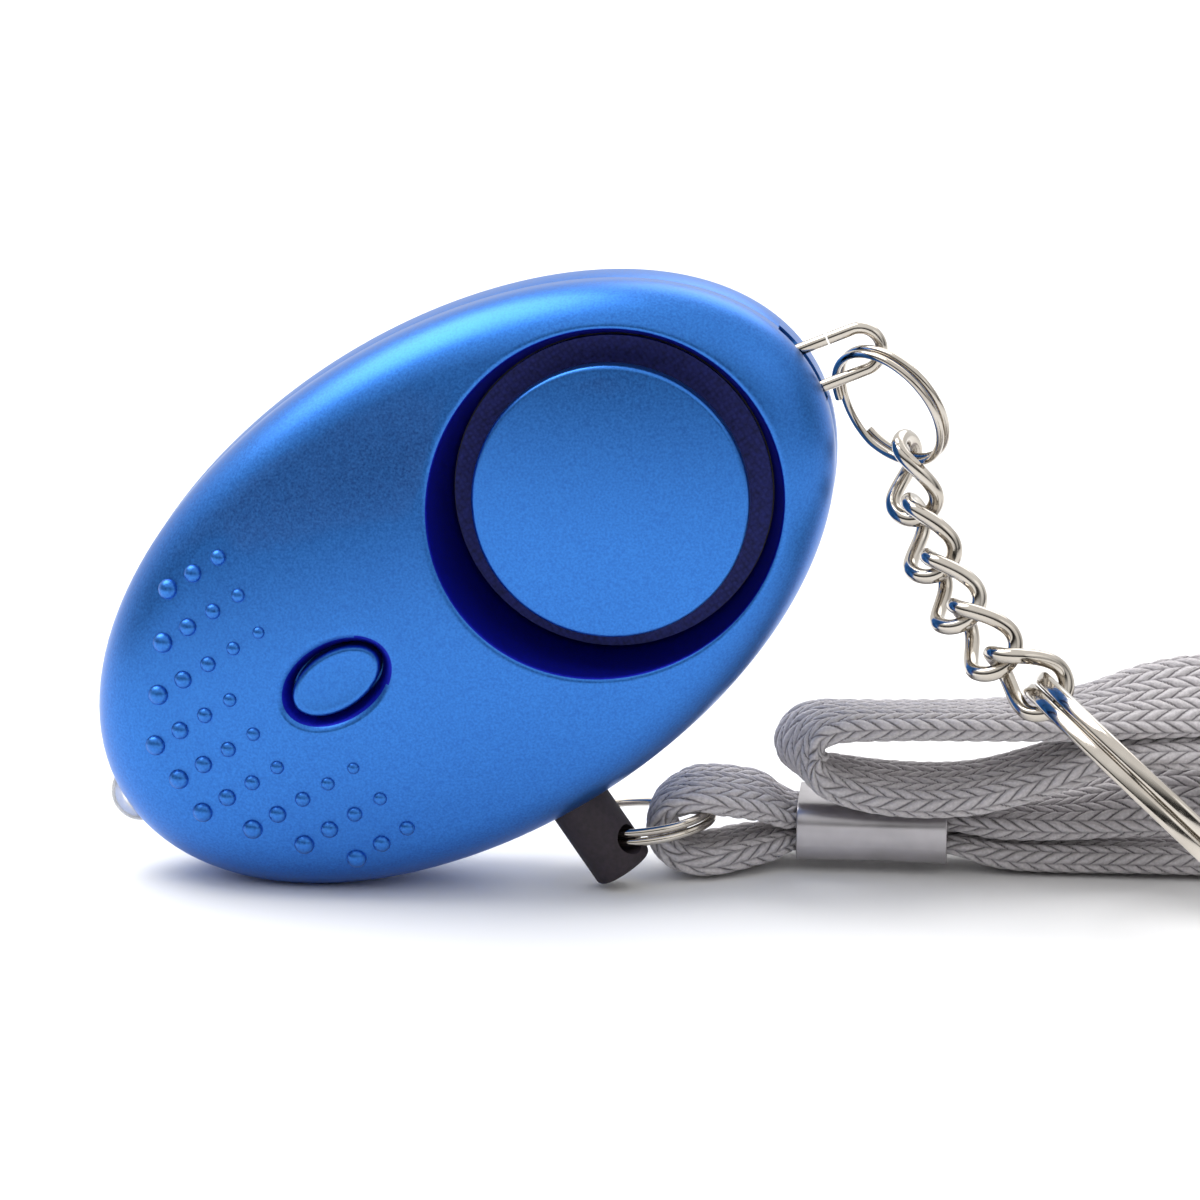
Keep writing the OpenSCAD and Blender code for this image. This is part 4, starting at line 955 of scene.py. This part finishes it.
def linkPoint(k):  # a racetrack of wire, turned a quarter from bow to bow
    whole, bow, leg = 2 * pi * bowR + 4 * bowE, pi * bowR, 2 * bowE
    q = whole * ((k + 0.5) / chain["rings"] % 1)
    if q < bow:
        x, y = -bowE - bowR * sin(pi * q / bow), bowR * cos(pi * q / bow)
    elif q < bow + leg:
        x, y = -bowE + q - bow, -bowR
    elif q < 2 * bow + leg:
        x, y = bowE + bowR * sin(pi * (q - bow - leg) / bow), -bowR * cos(pi * (q - bow - leg) / bow)
    else:
        x, y = bowE - (q - 2 * bow - leg), bowR
    a = chain["twist"] / 2 * (1 + sin(pi / 2 * x / (bowE + bowR)))
    return x + span / 2, y * cos(a), y * sin(a)


def makeLinks():
    links = []
    first = bendWire("chainLink1", [linkPoint(k) for k in range(chain["rings"])], chain["thick"], shut=True)
    at = Vector(chain["top"])
    for i in range(5):
        link = first if i == 0 else first.copy()
        if i:
            link.data = first.data.copy()
            link.name = "chainLink%d" % (i + 1)
            bpy.context.scene.collection.objects.link(link)
        links.append(link)
    for i, link in enumerate(links):
        fall, fore, turn = radians(chain["fall"][i]), radians(chain["fore"][i]), radians(chain["turn"][i])
        down = Vector((cos(fore) * cos(fall), -sin(fore), -cos(fore) * sin(fall)))
        bow = Vector((0, 1, 0)) - down.y * down
        bow.normalize()
        bow = bow * cos(turn) + down.cross(bow) * sin(turn)
        w = -bow
        v = down.cross(w)
        top = (at - down * playStep / 2) * mm
        settle(link, loosePlace @ Matrix(((down.x, w.x, v.x, top.x), (down.y, w.y, v.y, top.y),
                                          (down.z, w.z, v.z, top.z), (0, 0, 0, 1))))
        at = at + (span - playStep) * down
        lastDown = down
    reachIn = playStep / 2 - chain["thick"] / 2 - chain["play"] - keyRing["wide"] / 2 - keyRing["seat"]
    return links, at + lastDown * reachIn  # the key ring sits inside the last bow


chainLinks, chainEnd = makeLinks()


def makeKeyRing():  # flat wire, two turns
    step = keyRing["high"] + 0.1
    across = Vector(keyRing["ray"]).normalized()
    down = Vector((cos(keyRing["slope"]), 0, -sin(keyRing["slope"])))
    down = (down - down.dot(across) * across).normalized()
    up = down.cross(across)
    mid = chainEnd + keyRing["r"] * down
    edge = []
    c = keyRing["soft"]
    w, high = keyRing["wide"] / 2 - c, keyRing["high"] / 2 - c
    for cx, cy, a0 in ((w, high, 0), (-w, high, 90), (-w, -high, 180), (w, -high, 270)):
        edge += [(cx + c * cos(radians(a0 + 22.5 * i)), cy + c * sin(radians(a0 + 22.5 * i))) for i in range(5)]
    rings = []
    for i in range(181):
        a = 20 + 680 * i / 180
        z, b = coilLevel(a, step), radians(a + keyRing["start"])
        shrink = min(1.0, 0.6 + 0.2 * min(i, 180 - i))
        rings.append([((keyRing["r"] + p * shrink) * cos(b), (keyRing["r"] + p * shrink) * sin(b), z + q * shrink)
                      for p, q in edge])
    ring = skin("keyRing", rings)
    mid = mid * mm
    settle(ring, loosePlace @ Matrix(((down.x, across.x, up.x, mid.x), (down.y, across.y, up.y, mid.y),
                                      (down.z, across.z, up.z, mid.z), (0, 0, 0, 1))))
    smooth(ring, 40)
    return ring


pullPin, bailWire = makePin(), makeBail()
dress(pullPin, pinRubber, "pin_rubber", "pull_pin", "pull_pin")
dress(splitRing("pinRing", pinRing, pinRingPlace), nickel, "nickel", "pin_ring", "pin_ring")
dress(splitRing("bailRing", bailRing, bailRingPlace), nickel, "nickel", "bail_ring", "bail_ring")
dress(bailWire, nickel, "nickel", "bail", "bail")
for i, link in enumerate(chainLinks):
    dress(link, nickel, "nickel", "chain_link_%d" % (i + 1), "chain_link_%d" % (i + 1))
dress(makeKeyRing(), nickel, "nickel", "key_ring", "key_ring")
print("pin, rings and chain")

# the inside stays as it was drawn and only gets its finishes
for finishOf, names in ((soundCloth, ["sound_mesh"]), (innerBlack, ["sound_chamber", "battery_tray", "switch_plunger"]),
                        (springBrass, ["piezo_disc", "lower_contacts", "upper_contacts", "pin_contacts"]),
                        (boardGreen, ["circuit_board"]), (ferrite, ["boost_coil"]),
                        (chipBlack, ["driver_chip", "power_transistor"]),
                        (steel, ["tact_switch", "button_cells", "case_screws", "pin_shank"])):
    for name in names:
        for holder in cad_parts[name].material_slots:
            holder.material = finishOf
print("inside finished")

# white floor, room and lamps
studio = {"floor": 0.9, "back": (-0.25, 0.5, 0.04, 1.0), "overhead": (0.22, 0.6, 0.0, 1.1)}
clearPick()
bpy.ops.mesh.primitive_plane_add(size=6)
ground = named("floor")
groundMat, groundShader = finish("floorWhite", Roughness=0.9, Specular_IOR_Level=0.1)
groundShader.inputs["Base Color"].default_value = (studio["floor"], studio["floor"], studio["floor"], 1)
ground.data.materials.append(groundMat)

room = bpy.data.worlds.new("room")
bpy.context.scene.world = room
room.use_nodes = True
where = add(room, "TexCoord")
parts = add(room, "SeparateXYZ")
wire(room, where.outputs["Generated"], parts.inputs[0])
glows = []
for axis, key in ((1, "back"), (2, "overhead")):  # bright behind the object and above, dim behind the camera
    a, b, low, high = studio[key]
    glows.append(spread(room, parts.outputs[axis], low, high, a, b))
path = add(room, "LightPath")
white = math_(room, "MAXIMUM", path.outputs["Is Camera Ray"], path.outputs["Is Transmission Ray"])
backdrop = room.node_tree.nodes["Background"]
wire(room, math_(room, "MAXIMUM", math_(room, "MAXIMUM", *glows), white), backdrop.inputs["Strength"])
backdrop.inputs["Color"].default_value = (1, 1, 1, 1)

lamps = {"key": ((-0.28, 0.06, 0.50), 0.45, 2.4), "fill": ((0.45, -0.35, 0.25), 0.45, 0.3),
         "back": ((0.15, 0.45, 0.5), 0.5, 1.2)}
for name, (at, size, power) in lamps.items():
    clearPick()
    bpy.ops.object.light_add(type="AREA", location=at)
    lamp = bpy.context.object
    lamp.name = name
    lamp.data.shape = "DISK"
    lamp.data.size = size
    lamp.data.energy = power
    lamp.rotation_euler = (Vector(at) - caseMid).to_track_quat("Z", "Y").to_euler()
bpy.context.scene.view_settings.view_transform = "Standard"
print("studio lit")
